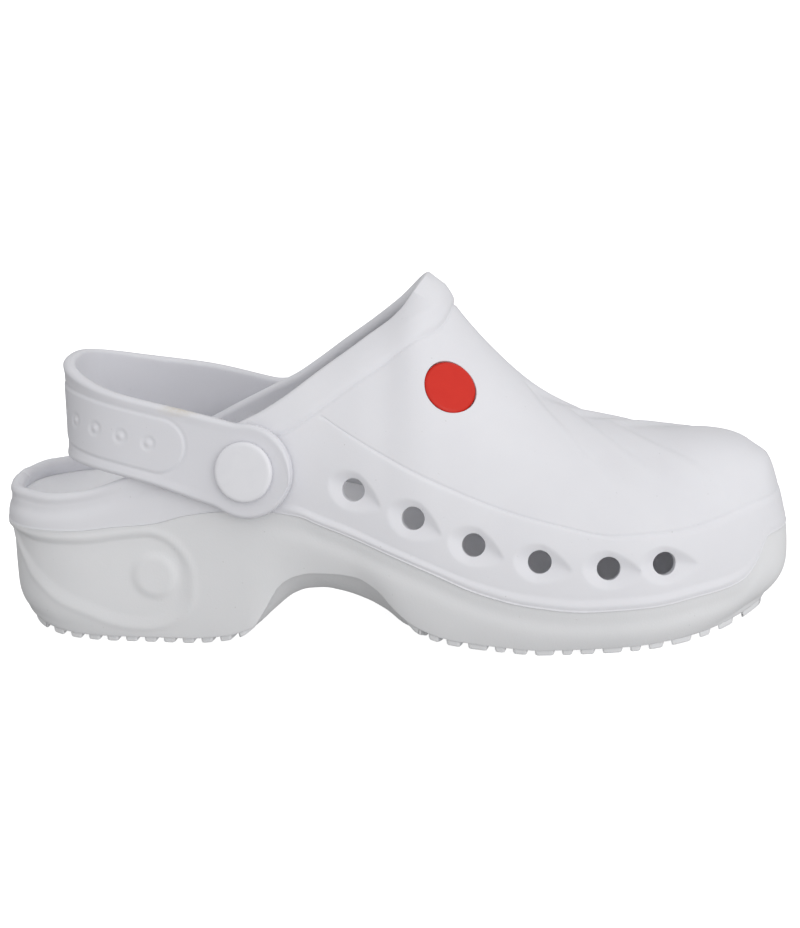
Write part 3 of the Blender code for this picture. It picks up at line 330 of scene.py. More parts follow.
def chine(station):
    """Height of the lower edge of the side wall."""
    return tread_edge(station) + ARCH_BEVEL + (LUG_HEIGHT - ARCH_BEVEL) * in_tread(station)


def collar_direction(beta):
    """Direction, in the ball the skin is mapped from, where the rib of each beta ends at the collar edge."""
    start = (1.0 - np.cos(beta)) / 2.0
    rim = RIM_BACK / LENGTH
    station = rim + (PEAK_BACK / LENGTH - rim) * (1.0 - (1.0 - start) ** COLLAR_SPREAD)
    share = np.where(np.sin(beta) > 0.0, collar_lateral(station), collar_medial(station))
    near_end = ramp(start, 0.0, END_EASE) * ramp(1.0 - start, 0.0, END_EASE)
    climb = math.pi / 2.0 + (climb_at(station, INSTEP_HEIGHT * share) - math.pi / 2.0) * near_end
    radius = ellipse(station)
    side = -np.sign(np.sin(beta))
    return np.stack([2.0 * station - 1.0, side * radius * np.cos(climb), radius * np.sin(climb)], axis=-1)


def ribs(beta):
    """Outer skin as ribs, one per beta: up the wall to the widest line, then a great circle to the collar."""
    beta = np.asarray(beta, float)[:, None]
    start = (1.0 - np.cos(beta)) / 2.0
    low = np.linspace(0.0, 1.0, WALL_SAMPLES, endpoint=False)[None, :] ** WALL_BUNCHING
    plan = outline(beta)
    inset = foot_inset(start) * (1.0 - low) ** foot_round(start)
    foot = chine(start)
    flat = plan - outward(beta) * inset[..., None]
    up_wall = foot + (INSTEP_HEIGHT * belt_share(start) - foot) * low
    wall = np.concatenate([flat, up_wall[..., None]], axis=-1)
    high = np.linspace(0.0, 1.0, CROWN_SAMPLES)[None, :, None] ** CROWN_BUNCHING
    base = np.stack([-np.cos(beta), -np.sin(beta), 0.0 * beta], axis=-1)
    end = collar_direction(beta)
    angle = np.arccos(np.clip(np.sum(base * end, axis=-1, keepdims=True), -1.0, 1.0))
    turn = (np.sin((1.0 - high) * angle) * base + np.sin(high * angle) * end) / np.sin(angle)
    station = np.clip((1.0 + turn[..., 0]) / 2.0, 0.0, 1.0)
    climb = np.arctan2(np.maximum(turn[..., 2], 0.0), np.abs(turn[..., 1]))
    lateral = np.broadcast_to(np.sin(beta) > 1e-9, station.shape)
    return np.concatenate([wall, skin(station, climb, lateral)], axis=1)


def pick(run, values, wanted):
    """Rows of values at wanted distances along each rib: v_k + (w - r_k) / (r_k+1 - r_k) (v_k+1 - v_k)."""
    k = np.clip((run[:, None, :] <= wanted[:, :, None]).sum(axis=-1) - 1, 0, run.shape[1] - 2)
    low = np.take_along_axis(run, k, axis=1)
    high = np.take_along_axis(run, k + 1, axis=1)
    share = np.clip((wanted - low) / (high - low), 0.0, 1.0)[..., None]
    below = np.take_along_axis(values, k[..., None], axis=1)
    above = np.take_along_axis(values, k[..., None] + 1, axis=1)
    return below * (1.0 - share) + above * share


class Skin:
    """Ribs of the outer skin with their lengths, read at any distance from the foot of the wall."""

    def __init__(self, beta):
        self.beta = np.asarray(beta, float)
        self.points = ribs(self.beta)
        across = ribs(self.beta + 2e-4) - ribs(self.beta - 2e-4)
        normal = np.cross(across, np.gradient(self.points, axis=1))
        self.normals = unit(normal)
        steps = np.linalg.norm(np.diff(self.points, axis=1), axis=-1)
        self.run = np.concatenate([np.zeros((len(self.beta), 1)), np.cumsum(steps, axis=1)], axis=1)
        self.full = self.run[:, -1]
        parting_height = INSTEP_HEIGHT * parting_share(self.points[..., 0] / LENGTH)
        self.parting = self.crossing(self.points[..., 2] - parting_height)

    def crossing(self, gap):
        """Distance along each rib where a rising quantity first passes zero, straight between samples."""
        over = gap > 0.0
        k = np.maximum(np.argmax(over, axis=1), 1)
        rows = np.arange(len(self.beta))
        share = -gap[rows, k - 1] / (gap[rows, k] - gap[rows, k - 1])
        found = self.run[rows, k - 1] + share * (self.run[rows, k] - self.run[rows, k - 1])
        found = np.where(over[:, 0], 0.0, found)
        return np.where(over.any(axis=1), found, self.full)

    def at(self, wanted):
        """Points and unit normals at an array of distances, one row per rib."""
        points = pick(self.run, self.points, wanted)
        normals = pick(self.run, self.normals, wanted)
        return points, unit(normals)

    def inner_at_height(self, height):
        """Points of the inner face of the wall, WALL inside the skin, where it passes one height per rib."""
        inner = (self.points - WALL * self.normals)[:, :INNER_SAMPLES]
        z = np.maximum.accumulate(inner[..., 2], axis=1) + 1e-9 * np.arange(INNER_SAMPLES)
        return pick(z, inner, height[:, None])[:, 0]


def arc_of(beta):
    """Distance round the outline from the back of the heel, the same sign on both sides."""
    fine = np.linspace(0.0, math.pi, 4001)
    plan = outline(fine)
    arc = np.concatenate([[0.0], np.cumsum(np.linalg.norm(np.diff(plan, axis=0), axis=-1))])
    return np.interp(np.arccos(np.cos(beta)), fine, arc)


def spread_columns(count, weight):
    """Betas along one side whose spacing is even in outline length times a weight given by station."""
    fine = np.linspace(0.0, math.pi, 6001)
    station = (1.0 - np.cos(fine)) / 2.0
    width = (half_width(station, True) + half_width(station, False)) / 2.0
    length = np.hypot(np.gradient(LENGTH * station), np.gradient(width)) * weight(station)
    total = np.concatenate([[0.0], np.cumsum(length[1:])])
    return np.interp(np.linspace(0.0, total[-1], count + 1), total, fine)


def inside_distance(x, y, border):
    """Distance to a closed border of straight pieces, positive inside by the crossing rule."""
    a = np.asarray(border)
    b = np.roll(a, -1, axis=0)
    px = x[..., None]
    py = y[..., None]
    dx = b[:, 0] - a[:, 0]
    dy = b[:, 1] - a[:, 1]
    t = np.clip(((px - a[:, 0]) * dx + (py - a[:, 1]) * dy) / (dx * dx + dy * dy), 0.0, 1.0)
    away = np.hypot(px - a[:, 0] - t * dx, py - a[:, 1] - t * dy).min(axis=-1)
    meets = a[:, 0] + (py - a[:, 1]) * dx / np.where(dy == 0.0, 1e-12, dy)
    crosses = ((a[:, 1] > py) != (b[:, 1] > py)) & (px < meets)
    return np.where(crosses.sum(axis=-1) % 2 == 1, away, -away)


def smooth_border(rows, count):
    """Closed border rounded by a Catmull-Rom curve through its rows."""
    p = np.asarray(rows)
    t = np.linspace(0.0, 1.0, count, endpoint=False)[None, :, None]
    a, b, c, d = (np.roll(p, shift, axis=0)[:, None, :] for shift in (1, 0, -1, -2))
    curve = b + 0.5 * t * (c - a + t * (2.0 * a - 5.0 * b + 4.0 * c - d + t * (3.0 * (b - c) + d - a)))
    return curve.reshape(-1, 2)


fine_station = np.linspace(0.0, 1.0, 2001)
widest = [float(np.max(half_width(fine_station, lateral))) for lateral in (True, False)]
SHIFT = np.array([-LENGTH / 2.0, (widest[0] - widest[1]) / 2.0, 0.0])


def mesh_piece(name, verts, faces):
    """Object from points in the heel frame, which SHIFT centres. Repeated corners of a face are dropped, and
    faces are turned outwards where the volume, the sum of a . (b x c) / 6, is negative."""
    mesh = bpy.data.meshes.new(name)
    used, back = np.unique(np.asarray(faces), return_inverse=True)
    faces = back.reshape(np.shape(faces))
    a, b, c, d = np.moveaxis(np.asarray(verts)[used][faces], 1, 0)
    if np.sum(a * (np.cross(b, c) + np.cross(c, d))) < 0.0:
        faces = faces[:, ::-1]
    lists = [tuple(dict.fromkeys(face)) for face in faces.tolist()]
    mesh.from_pydata((np.asarray(verts)[used] + SHIFT).tolist(), [], [face for face in lists if len(face) > 2])
    mesh.polygons.foreach_set("use_smooth", np.ones(len(mesh.polygons), bool))
    mesh.update()
    thing = bpy.data.objects.new(name, mesh)
    bpy.context.scene.collection.objects.link(thing)
    return thing


def grid_faces(rings, columns, first, closed_rings, closed_columns):
    """Quads of a grid of points stored ring by ring, wrapped round where asked."""
    r = np.arange(rings if closed_rings else rings - 1)[:, None]
    c = np.arange(columns if closed_columns else columns - 1)[None, :]
    a = first + r * columns + c
    b = first + r * columns + (c + 1) % columns
    up = first + ((r + 1) % rings) * columns
    return np.stack([a, b, up + (c + 1) % columns, up + c], axis=-1).reshape(-1, 4)


def tray_faces(rings):
    """Faces of rings that start and end on the middle line, where column i and column n - i are one point."""
    count, columns = rings.shape[:2]
    faces = grid_faces(count, columns, 0, False, True)
    i = np.arange(columns)
    keep = np.minimum(i, (columns - i) % columns)
    for first in (0, (count - 1) * columns):
        inside = (faces >= first) & (faces < first + columns)
        faces = np.where(inside, first + keep[np.where(inside, faces - first, 0)], faces)
    return faces


def closed_ends(loops, tips):
    """Points and faces of a stack of closed loops with each end drawn to a tip."""
    count = loops.shape[1]
    ring = np.arange(count)
    onward = (ring + 1) % count
    last = (len(loops) - 1) * count
    first_tip = np.full(count, len(loops) * count)
    faces = np.concatenate([
        grid_faces(len(loops), count, 0, False, True),
        np.stack([onward, ring, first_tip, first_tip], axis=-1),
        np.stack([last + ring, last + onward, first_tip + 1, first_tip + 1], axis=-1),
    ])
    return np.concatenate([loops.reshape(-1, 3), tips]), faces


half = spread_columns(210, lambda s: 1.0 + 0.9 * (1.0 - ramp(s, 0.30, 0.36)))
sole_beta = np.concatenate([half, 2.0 * math.pi - half[-2:0:-1]])
sole_skin = Skin(sole_beta)
sole_columns = len(sole_beta)
flat_out = np.concatenate([outward(sole_beta), np.zeros((sole_columns, 1))], axis=1)
heel_field = smooth_border(HEEL_FIELD, 6)


def sole_relief(points, beta, below_parting):
    """How far the side wall stands proud of the plain skin: boss, sunk field with its lip, and ledge of the
    heel, and cove and flash under the parting line."""
    station = points[..., 0] / LENGTH
    arc = arc_of(beta)[:, None] + 0.0 * station
    height = points[..., 2]
    at_heel = LEDGE_AT_SIDE + (1.0 - LEDGE_AT_SIDE) * (1.0 - ramp(arc, *LEDGE_ARC))
    ledge = LEDGE_DEPTH * at_heel * ramp(below_parting, *LEDGE_FALL) * (1.0 - ramp(station, *LEDGE_END))
    ledge = ledge * (1.0 - 0.5 * ramp(below_parting, *LEDGE_LOW))
    inside = inside_distance(arc, height, heel_field)
    upper_part = ramp(height, *PANEL_UPPER)
    soft = PANEL_SOFT_LOW + (PANEL_SOFT_HIGH - PANEL_SOFT_LOW) * upper_part
    field = PANEL_DEPTH * ramp(inside, -PANEL_EDGE, soft)
    lip = PANEL_LIP * hump(inside, -PANEL_LIP_WIDTH, PANEL_LIP_WIDTH) * (0.7 + 0.3 * upper_part)
    from_boss = np.hypot(arc - BOSS_ARC, height - BOSS_HEIGHT)
    boss = BOSS_RISE * (1.0 - ramp(from_boss, BOSS_FLAT * BOSS_RADIUS, BOSS_RADIUS))
    cove = COVE_DEPTH * hump(below_parting, *COVE_PLACE) * ramp(station, *COVE_START)
    cove = cove * (1.0 - ramp(station, *COVE_END))
    flash = SOLE_FLASH * hump(below_parting, 0.0, SOLE_FLASH_WIDTH)
    return boss + flash + lip - ledge - field - cove


def tread_plane(station, share):
    """Bare underside between the lugs: tread height plus the groove depth."""
    low = tread_middle(station)
    return low + (tread_edge(station) - low) * share ** TREAD_SAG + GROOVE_DEPTH * in_tread(station)


def spine_points(beta, height):
    """Points along the middle line, one per column; the two halves share them."""
    x = SPINE_HEEL + (SPINE_TOE - SPINE_HEEL) * (1.0 - np.cos(beta)) / 2.0
    return np.stack([x, middle(x / LENGTH), height(x / LENGTH)], axis=-1)


def between(spine, edge, shares, height):
    """Rings spine + share (edge - spine), at a height given by station and share."""
    rings = spine[None] + shares[:, None, None] * (edge - spine)[None]
    rings[..., 2] = height(rings[..., 0] / LENGTH, shares[:, None] + 0.0 * rings[..., 0])
    return rings


foot_points = sole_skin.at(np.zeros((sole_columns, 1)))[0][:, 0]
# in the arch the lower edge is rounded off much further in
arch_round = LUG_INSET + ARCH_ROUND * (1.0 - in_tread(foot_points[:, :1] / LENGTH))
bottom_edge = foot_points - flat_out * arch_round
spine = spine_points(sole_beta, lambda s: tread_plane(s, 0.0))
bottom = between(spine, bottom_edge, np.linspace(0.0, 1.0, 15), tread_plane)
curl = np.linspace(0.0, 1.0, 9)[1:-1, None, None]
corner = foot_points - flat_out * CURL_BULGE - np.array([0.0, 0.0, CURL_BULGE])
curve_in = (1.0 - curl) ** 2 * bottom[-1] + 2.0 * curl * (1.0 - curl) * corner + curl ** 2 * foot_points
top_of_wall = (sole_skin.parting - SEAM)[:, None]
rise = np.concatenate([np.linspace(0.0, RIM_SHARE, 52) ** 1.05, np.linspace(RIM_SHARE, 1.0, 15)[1:]])[None, :]
wall_points, wall_normals = sole_skin.at(rise * top_of_wall)
proud = sole_relief(wall_points, sole_beta, top_of_wall - rise * top_of_wall)
wall_rings = np.swapaxes(wall_points + wall_normals * (proud * ramp(rise, 0.0, RELIEF_START))[..., None], 0, 1)
outer = wall_points[:, -1]
outer_normal = wall_normals[:, -1]
inner = outer - outer_normal * WALL
lip_rings = np.stack([outer - outer_normal * EDGE_ROUND, inner + outer_normal * EDGE_ROUND, inner])
fillet_top = floor_height(inner[:, 0] / LENGTH) + FLOOR_FILLET
low = sole_skin.inner_at_height(fillet_top)
floor_edge = low - flat_out * FLOOR_FILLET
floor_edge[:, 2] = floor_height(floor_edge[:, 0] / LENGTH)
floor_spine = spine_points(sole_beta, floor_height)
floor_rings = between(floor_spine, floor_edge, np.array([0.8, 0.5, 0.2, 0.0]), floor_height)
drop = np.linspace(0.0, 1.0, 6)[1:, None, None]
inner_rings = inner[None] + drop * (low - inner)[None]
sole_rings = np.concatenate([
    bottom, curve_in, wall_rings, lip_rings, inner_rings, floor_edge[None], floor_rings,
])
# inset and depth of the loops of a lug, in metres: the first lies inside the sole, the last is its flat face
LUG_PROFILE = np.array((
    (0.0, -0.0005), (0.00005, 0.0004), (0.00015, 0.0013), (0.00030, 0.00175), (0.00055, 0.00195),
    (0.0010, 0.0020),
))
LUG_CORNER = 0.0007
SOLE_END = 0.0006
BARE_ARCH = (0.344, 0.523)


def edge_line(side):
    """Lower edge of one side of the sole, from heel to toe."""
    line = bottom_edge[side]
    return line[np.argsort(line[:, 0])]


lateral_edge = edge_line(np.sin(sole_beta) >= -1e-9)
medial_edge = edge_line(np.sin(sole_beta) <= 1e-9)


def lateral_limit(x):
    """Sideways place of the lower edge on the lateral side."""
    return np.interp(x, lateral_edge[:, 0], lateral_edge[:, 1])


def medial_limit(x):
    """Sideways place of the lower edge on the medial side."""
    return np.interp(x, medial_edge[:, 0], medial_edge[:, 1])


def channel_limit(y):
    """A limit that runs along the shoe at one distance from its middle line."""
    return lambda x: 0.0 * x + y


def lug(x_from, x_to, y_low, y_high, columns):
    """One rounded block: loops of its outline, each set in and let down as LUG_PROFILE says."""
    hx = (x_to - x_from) / 2.0
    quarter = np.radians([0.0, 30.0, 60.0, 90.0])
    radius = min(LUG_CORNER, 0.4 * hx)
    ox = radius * (1.0 - np.sin(quarter))
    oy = radius * (1.0 - np.cos(quarter))
    side_x = np.linspace(-1.0, 1.0, columns)[1:-1]
    side_y = np.linspace(-1.0, 1.0, 7)[1:-1]
    # one half round: corner, toe side, corner, medial side; the other half is its mirror image
    sx = np.concatenate([np.ones(13), -side_x])
    sy = np.concatenate([-np.ones(4), side_y, np.ones(columns + 2)])
    sx = np.concatenate([sx, -sx])
    sy = np.concatenate([sy, -sy])
    off_x = np.tile(np.concatenate([ox, np.zeros(5), ox[::-1], np.zeros(columns - 2)]), 2)
    off_y = np.tile(np.concatenate([oy, np.zeros(5), oy[::-1], np.zeros(columns - 2)]), 2)
    inset = LUG_PROFILE[:, :1]
    x = (x_from + x_to) / 2.0 + sx * np.maximum(hx - off_x - inset, 0.0)
    low_y = y_low(x)
    high_y = y_high(x)
    hy = (high_y - low_y) / 2.0
    reach = np.where(np.abs(sy) == 1.0, np.maximum(hy - off_y - inset, 0.0), np.maximum(hy - inset, 0.0))
    y = (low_y + high_y) / 2.0 + sy * reach
    station = x / LENGTH
    wide = np.where(y < middle(station), lateral_limit(x), medial_limit(x))
    share = np.clip((y - middle(station)) / (wide - middle(station)), 0.0, 1.0)
    z = tread_plane(station, share) - LUG_PROFILE[:, 1:] * in_tread(station)
    loops = np.stack([x, y, z], axis=-1)
    return closed_ends(loops, loops[[0, -1]].mean(axis=1))


def lug_rows():
    """Bars between the cross grooves. Two channels part each bar in three; the bars at the ends stay whole."""
    made = []
    ends = (
        (lateral_edge[0, 0] + SOLE_END, BARE_ARCH[0] * LENGTH),
        (BARE_ARCH[1] * LENGTH, lateral_edge[-1, 0] - SOLE_END),
    )
    for (first, last, pitches), (start, stop) in zip(GROOVE_ZONES, ends):
        places = [first * LENGTH]
        while places[-1] + pitches[(len(places) - 1) % len(pitches)] < last * LENGTH:
            places.append(places[-1] + pitches[(len(places) - 1) % len(pitches)])
        zone = float(middle((places[0] + places[-1]) / 2.0 / LENGTH))
        channels = [
            channel_limit(share * BALL_WIDTH + zone + sign * CHANNEL_WIDTH / 2.0)
            for share in CHANNEL_SHARES for sign in (-1.0, 1.0)
        ]
        limits = [lateral_limit, *channels, medial_limit]
        edges = [start] + [x + sign * GROOVE_WIDTH / 2.0 for x in places for sign in (-1.0, 1.0)] + [stop]
        bars = list(zip(edges[0::2], edges[1::2]))
        for number, (x_from, x_to) in enumerate(bars):
            if number in (0, len(bars) - 1):
                made.append(lug(x_from, x_to, lateral_limit, medial_limit, 22))
            else:
                made += [lug(x_from, x_to, *pair, 5) for pair in zip(limits[0::2], limits[1::2])]
    return made


sole_parts = [(sole_rings.reshape(-1, 3), tray_faces(sole_rings))] + lug_rows()
starts = np.cumsum([0] + [len(verts) for verts, _ in sole_parts])
sole = mesh_piece(
    "clog_sole", np.concatenate([verts for verts, _ in sole_parts]),
    np.concatenate([faces + start for (_, faces), start in zip(sole_parts, starts)]),
)


def linear(text):
    """sRGB hex colour as linear red, green, blue, alpha: ((c + 0.055) / 1.055)^2.4, or c / 12.92 when dark."""
    c = np.array([int(text[k:k + 2], 16) / 255.0 for k in (1, 3, 5)])
    c = np.where(c <= 0.04045, c / 12.92, ((c + 0.055) / 1.055) ** 2.4)
    return (*c.tolist(), 1.0)


def add(tree, kind, values=None, links=None, **settings):
    """Add a node: settings are its properties, values the defaults of its sockets, links what feeds them."""
    node = tree.nodes.new(kind)
    for key, value in settings.items():
        setattr(node, key, value)
    for socket, value in (values or {}).items():
        node.inputs[socket].default_value = value
    for socket, output in (links or {}).items():
        tree.links.new(output, node.inputs[socket])
    return node


def material_start(name, values):
    """Material with the even values of its shader set: material, tree and shader."""
    material = bpy.data.materials.new(name)
    material.use_nodes = True
    shader = material.node_tree.nodes["Principled BSDF"]
    for socket, value in values.items():
        shader.inputs[socket].default_value = value
    return material, material.node_tree, shader


def moulded_foam(name, colour, shade, speck, grain, rough, grain_depth):
    """Closed-cell EVA foam from a spark-eroded mould: satin skin with a fine grain, faint cloudy tone from uneven
    cells, slow waves left by shrinkage, and a few dust specks pressed in. Grain is its spacing in metres."""
    material, tree, shader = material_start(name, {
        "Subsurface Weight": 0.12, "Subsurface Radius": (1.0, 0.9, 0.85), "Subsurface Scale": 0.0015,
        "IOR": 1.48, "Specular IOR Level": 0.42,
    })
    spot = add(tree, "ShaderNodeTexCoord").outputs["Object"]
    cloud, dust, worn, waves, fine = (
        add(
            tree, "ShaderNodeTexNoise", {"Scale": scale, "Detail": detail, "Roughness": roughness},
            {"Vector": spot},
        ).outputs["Fac"]
        for scale, detail, roughness in (
            (34.0, 3.0, 0.6), (900.0, 2.0, 0.5), (90.0, 4.0, 0.6), (55.0, 1.0, 0.4), (1.0 / grain, 2.0, 0.55),
        )
    )
    tone = add(
        tree, "ShaderNodeMix", {6: linear(colour), 7: linear(shade)}, {"Factor": cloud}, data_type="RGBA",
    )
    rare = add(
        tree, "ShaderNodeMapRange", {"From Min": 0.745, "From Max": 0.80, "To Min": 0.0, "To Max": 0.35},
        {"Value": dust},
    )
    dirty = add(
        tree, "ShaderNodeMix", {7: linear(speck)}, {"Factor": rare.outputs["Result"], 6: tone.outputs[2]},
        data_type="RGBA",
    )
    sheen = add(
        tree, "ShaderNodeMapRange",
        {"From Min": 0.3, "From Max": 0.7, "To Min": rough - 0.05, "To Max": rough + 0.06}, {"Value": worn},
    )
    slow = add(tree, "ShaderNodeBump", {"Strength": 0.35, "Distance": 0.0005}, {"Height": waves})
    bump = add(
        tree, "ShaderNodeBump", {"Strength": 0.5, "Distance": grain_depth},
        {"Height": fine, "Normal": slow.outputs["Normal"]},
    )
    tree.links.new(dirty.outputs[2], shader.inputs["Base Color"])
    tree.links.new(sheen.outputs["Result"], shader.inputs["Roughness"])
    tree.links.new(bump.outputs["Normal"], shader.inputs["Normal"])
    return material, tree, shader, dirty, spot


# White EVA of the sole: a shade greyer than the upper, because it is rubbed and stands in its own shade.
# The grain of the mould is 0.7 mm here, drawn a little coarse so that it shows.
sole_foam = moulded_foam(
    "EVA foam, moulded, white sole", "#EAEAEC", "#E2E3E5", "#8E8A84",
    grain=0.0007, rough=0.56, grain_depth=0.00008,
)
sole.data.materials.append(sole_foam[0])
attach(sole, "root")
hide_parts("sole")


# Insole: a loose footbed of softer foam, cut and pressed to the tray, with a cupped heel.
# It lies on the tray floor a hair inside the wall, its cup climbs the wall of the heel almost to the rim, and its
# pressed top is finely pebbled.
FIT = 0.0003
SIDE_FIT = 0.0006
INSOLE_THICKNESS = 0.0040
INSOLE_CUP = 0.0130
CUP_END = (0.24, 0.52)
# how far the rounded brow is set in and let down, in metres, from the wall to the top
BROW = np.array([(0.0, 0.0012), (0.0001, 0.0008), (0.0004, 0.00035), (0.0008, 0.0001), (0.0014, 0.0)])


def insole_top(station, share=0.0):
    """Top of the insole: floor + thickness + cup share^3, the cup fading out along the arch."""
    cup = INSOLE_CUP * (1.0 - ramp(station, *CUP_END)) * share ** 3
    return floor_height(station) + FIT + INSOLE_THICKNESS + cup


side_foot = low - flat_out * (FLOOR_FILLET + SIDE_FIT)
side_foot[:, 2] = floor_height(side_foot[:, 0] / LENGTH) + FIT
side = low - flat_out * SIDE_FIT
side[:, 2] = fillet_top + 2.0 * FIT
brow_height = insole_top(inner[:, 0] / LENGTH, 1.0)
brow_at = sole_skin.inner_at_height(brow_height)
brow = brow_at[None] - flat_out[None] * (SIDE_FIT + BROW[:, :1, None])
brow[..., 2] = brow_height[None] - BROW[:, 1:]
under = spine_points(sole_beta, lambda s: floor_height(s) + FIT)
over = spine_points(sole_beta, insole_top)
top_rings = between(over, brow[-1], np.linspace(0.985, 0.0, 22), insole_top)
climb = np.linspace(0.0, 1.0, 7)[1:-1, None]
flank_heights = side[None, :, 2] + climb * (brow[0, :, 2] - side[:, 2])[None]
flank = np.stack([sole_skin.inner_at_height(height) - flat_out * SIDE_FIT for height in flank_heights])
flank[..., 2] = flank_heights
insole_rings = np.concatenate([under[None], side_foot[None], side[None], flank, brow, top_rings])
insole = mesh_piece("clog_insole", insole_rings.reshape(-1, 3), tray_faces(insole_rings))

# Pressed soft foam, a little duller than the tray; the pebbles are 1.2 mm apart.
# It is lighter than the tray partly in its own colour and partly as painted light for the heel cup, sunk in
# shade.
footbed_foam = moulded_foam(
    "EVA foam, pressed footbed", "#FAFAFC", "#F4F4F7", "#B8B4AE",
    grain=0.0012, rough=0.68, grain_depth=0.00025,
)
insole.data.materials.append(footbed_foam[0])
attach(insole, "root")
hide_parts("insole")


# Upper: one hollow foam shell, moulded with the tray above the parting line. A thick cuff runs round the collar,
# a rounded bead stands above the parting line, and a crease parts the smooth vamp from the side band. Six round
# vents sit in leaf-shaped hollows on the outer side, and three soft pleats fan out over the toes.
CUFF_WIDTH = 0.0112
CUFF_WIDENING = 0.0040
CUFF_RISE = 0.0008
CUFF_SWELL = 0.0006
CUFF_LIP = 0.0024
CUFF_WIDE_FROM = (0.36, 0.60)
CUFF_FREE = 0.024
CUFF_START = (0.32, 0.39)
CUFF_SWELL_START = (0.40, 0.53)
CUFF_CREASE = 0.0004
CUFF_CREASE_WIDTH = 0.0006
RIM_BEAD = 0.0010
RIM_BEAD_FALL = (0.0030, 0.0052)
RIM_HOLLOW = 0.0006
RIM_HOLLOW_PLACE = (0.0078, 0.0024)
RIM_END = (0.16, 0.34)
BEAD_RISE = 0.0009
BEAD_FALL = (0.0016, 0.0046)
BEAD_GROOVE = 0.0009
BEAD_START = (0.36, 0.42)
BEAD_TOE = (0.92, 0.965)
BAND_RISE = 0.0004
BAND_EDGE = (-0.0022, -0.0001)
BAND_FOOT = 0.006
BAND_START = (0.44, 0.56)
BAND_TOE = (0.90, 0.98)
STEP_CREASE = 0.00032
STEP_CREASE_WIDTH = 0.0006
STEP_START = (0.385, 0.41)
STEP_TOE = (0.88, 0.98)
STEP_LIMIT = 0.96
STEP_HIDDEN = 1.03
STEP_STIFFNESS = 60.0
PLEAT_DEPTH = 0.0012
PLEAT_FALL = (-0.0006, 0.0034)
PLEAT_RISE_FROM = 0.0045
PLEAT_FADE = 0.010
PLEAT_HEIGHT = (0.045, 0.052)
FLASH = 0.00025
FLASH_WIDTH = 0.00035
BURR = 0.00035
BURR_WAVES = (2850.0, 910.0, 1130.0)
BURR_START = (0.50, 0.58)
BURR_END = (0.76, 0.82)
VENT_RADIUS = 0.0040
HOLLOW_DEPTH = 0.0029
HOLLOW_BACK = 0.0088
HOLLOW_TAIL = 0.0112
HOLLOW_UP = 0.0062
HOLLOW_DOWN = 0.0070
HOLLOW_SINK = 0.0012
HOLLOW_REACH = 0.012
BUTTON_RADIUS = 0.0093
BUTTON_STATION = 0.1645
BUTTON_HEIGHT = 0.0897
BUTTON_POCKET = 0.0021
BUTTON_FIT = 0.00025
RIVET_STATION = 0.0958
RIVET_HEIGHT = 0.0634
POST_RADIUS = 0.0040
VENT_CUT = (-0.012, 0.006)
RIVET_CUT = (-0.010, 0.006)

# station, height of the crease between vamp and side band over INSTEP_HEIGHT
STEP_LINE = (
    (0.000, 1.300), (0.320, 1.000), (0.432, 0.677), (0.489, 0.596), (0.539, 0.535), (0.601, 0.469),
    (0.663, 0.413), (0.735, 0.366), (0.806, 0.334), (0.877, 0.336), (0.924, 0.354), (0.958, 0.374),
    (1.000, 0.384),
)

# station, height over INSTEP_HEIGHT of the middle of each vent on the lateral side
VENTS = ((0.4799, 0.466), (0.5547, 0.392), (0.6291, 0.321), (0.7097, 0.274), (0.7931, 0.250), (0.8602, 0.252))

# each pleat crest: distance from the middle line and from the heel, in metres; then where it starts to fade and
# how far its scoop reaches
PLEATS = (
    (
        ((0.0, 0.1862), (0.0087, 0.1919), (0.0165, 0.1990), (0.0257, 0.2058), (0.0319, 0.2117), (0.0400, 0.2200)),
        0.028, 0.016,
    ),
    (
        ((0.0, 0.2015), (0.0109, 0.2098), (0.0193, 0.2174), (0.0259, 0.2248), (0.0300, 0.2300), (0.0380, 0.2400)),
        0.023, 0.014,
    ),
    (
        ((0.0, 0.2150), (0.0063, 0.2205), (0.0145, 0.2293), (0.0200, 0.2378), (0.0241, 0.2459), (0.0290, 0.2570)),
        0.022, 0.026,
    ),
)
step_share = steady(STEP_LINE, 1)


def seat(station, height, lateral):
    """Point of the skin at a station and height and its outward normal, by small differences."""
    small = 1e-3
    here = skin(station, climb_at(station, height), lateral)
    fore = skin(station + small, climb_at(station + small, height), lateral)
    up = skin(station, climb_at(station, height + small * INSTEP_HEIGHT), lateral) - here
    return here, unit(np.cross(fore - here, up) if lateral else np.cross(up, fore - here))


vent_seats = [seat(station, INSTEP_HEIGHT * height, True) for station, height in VENTS]


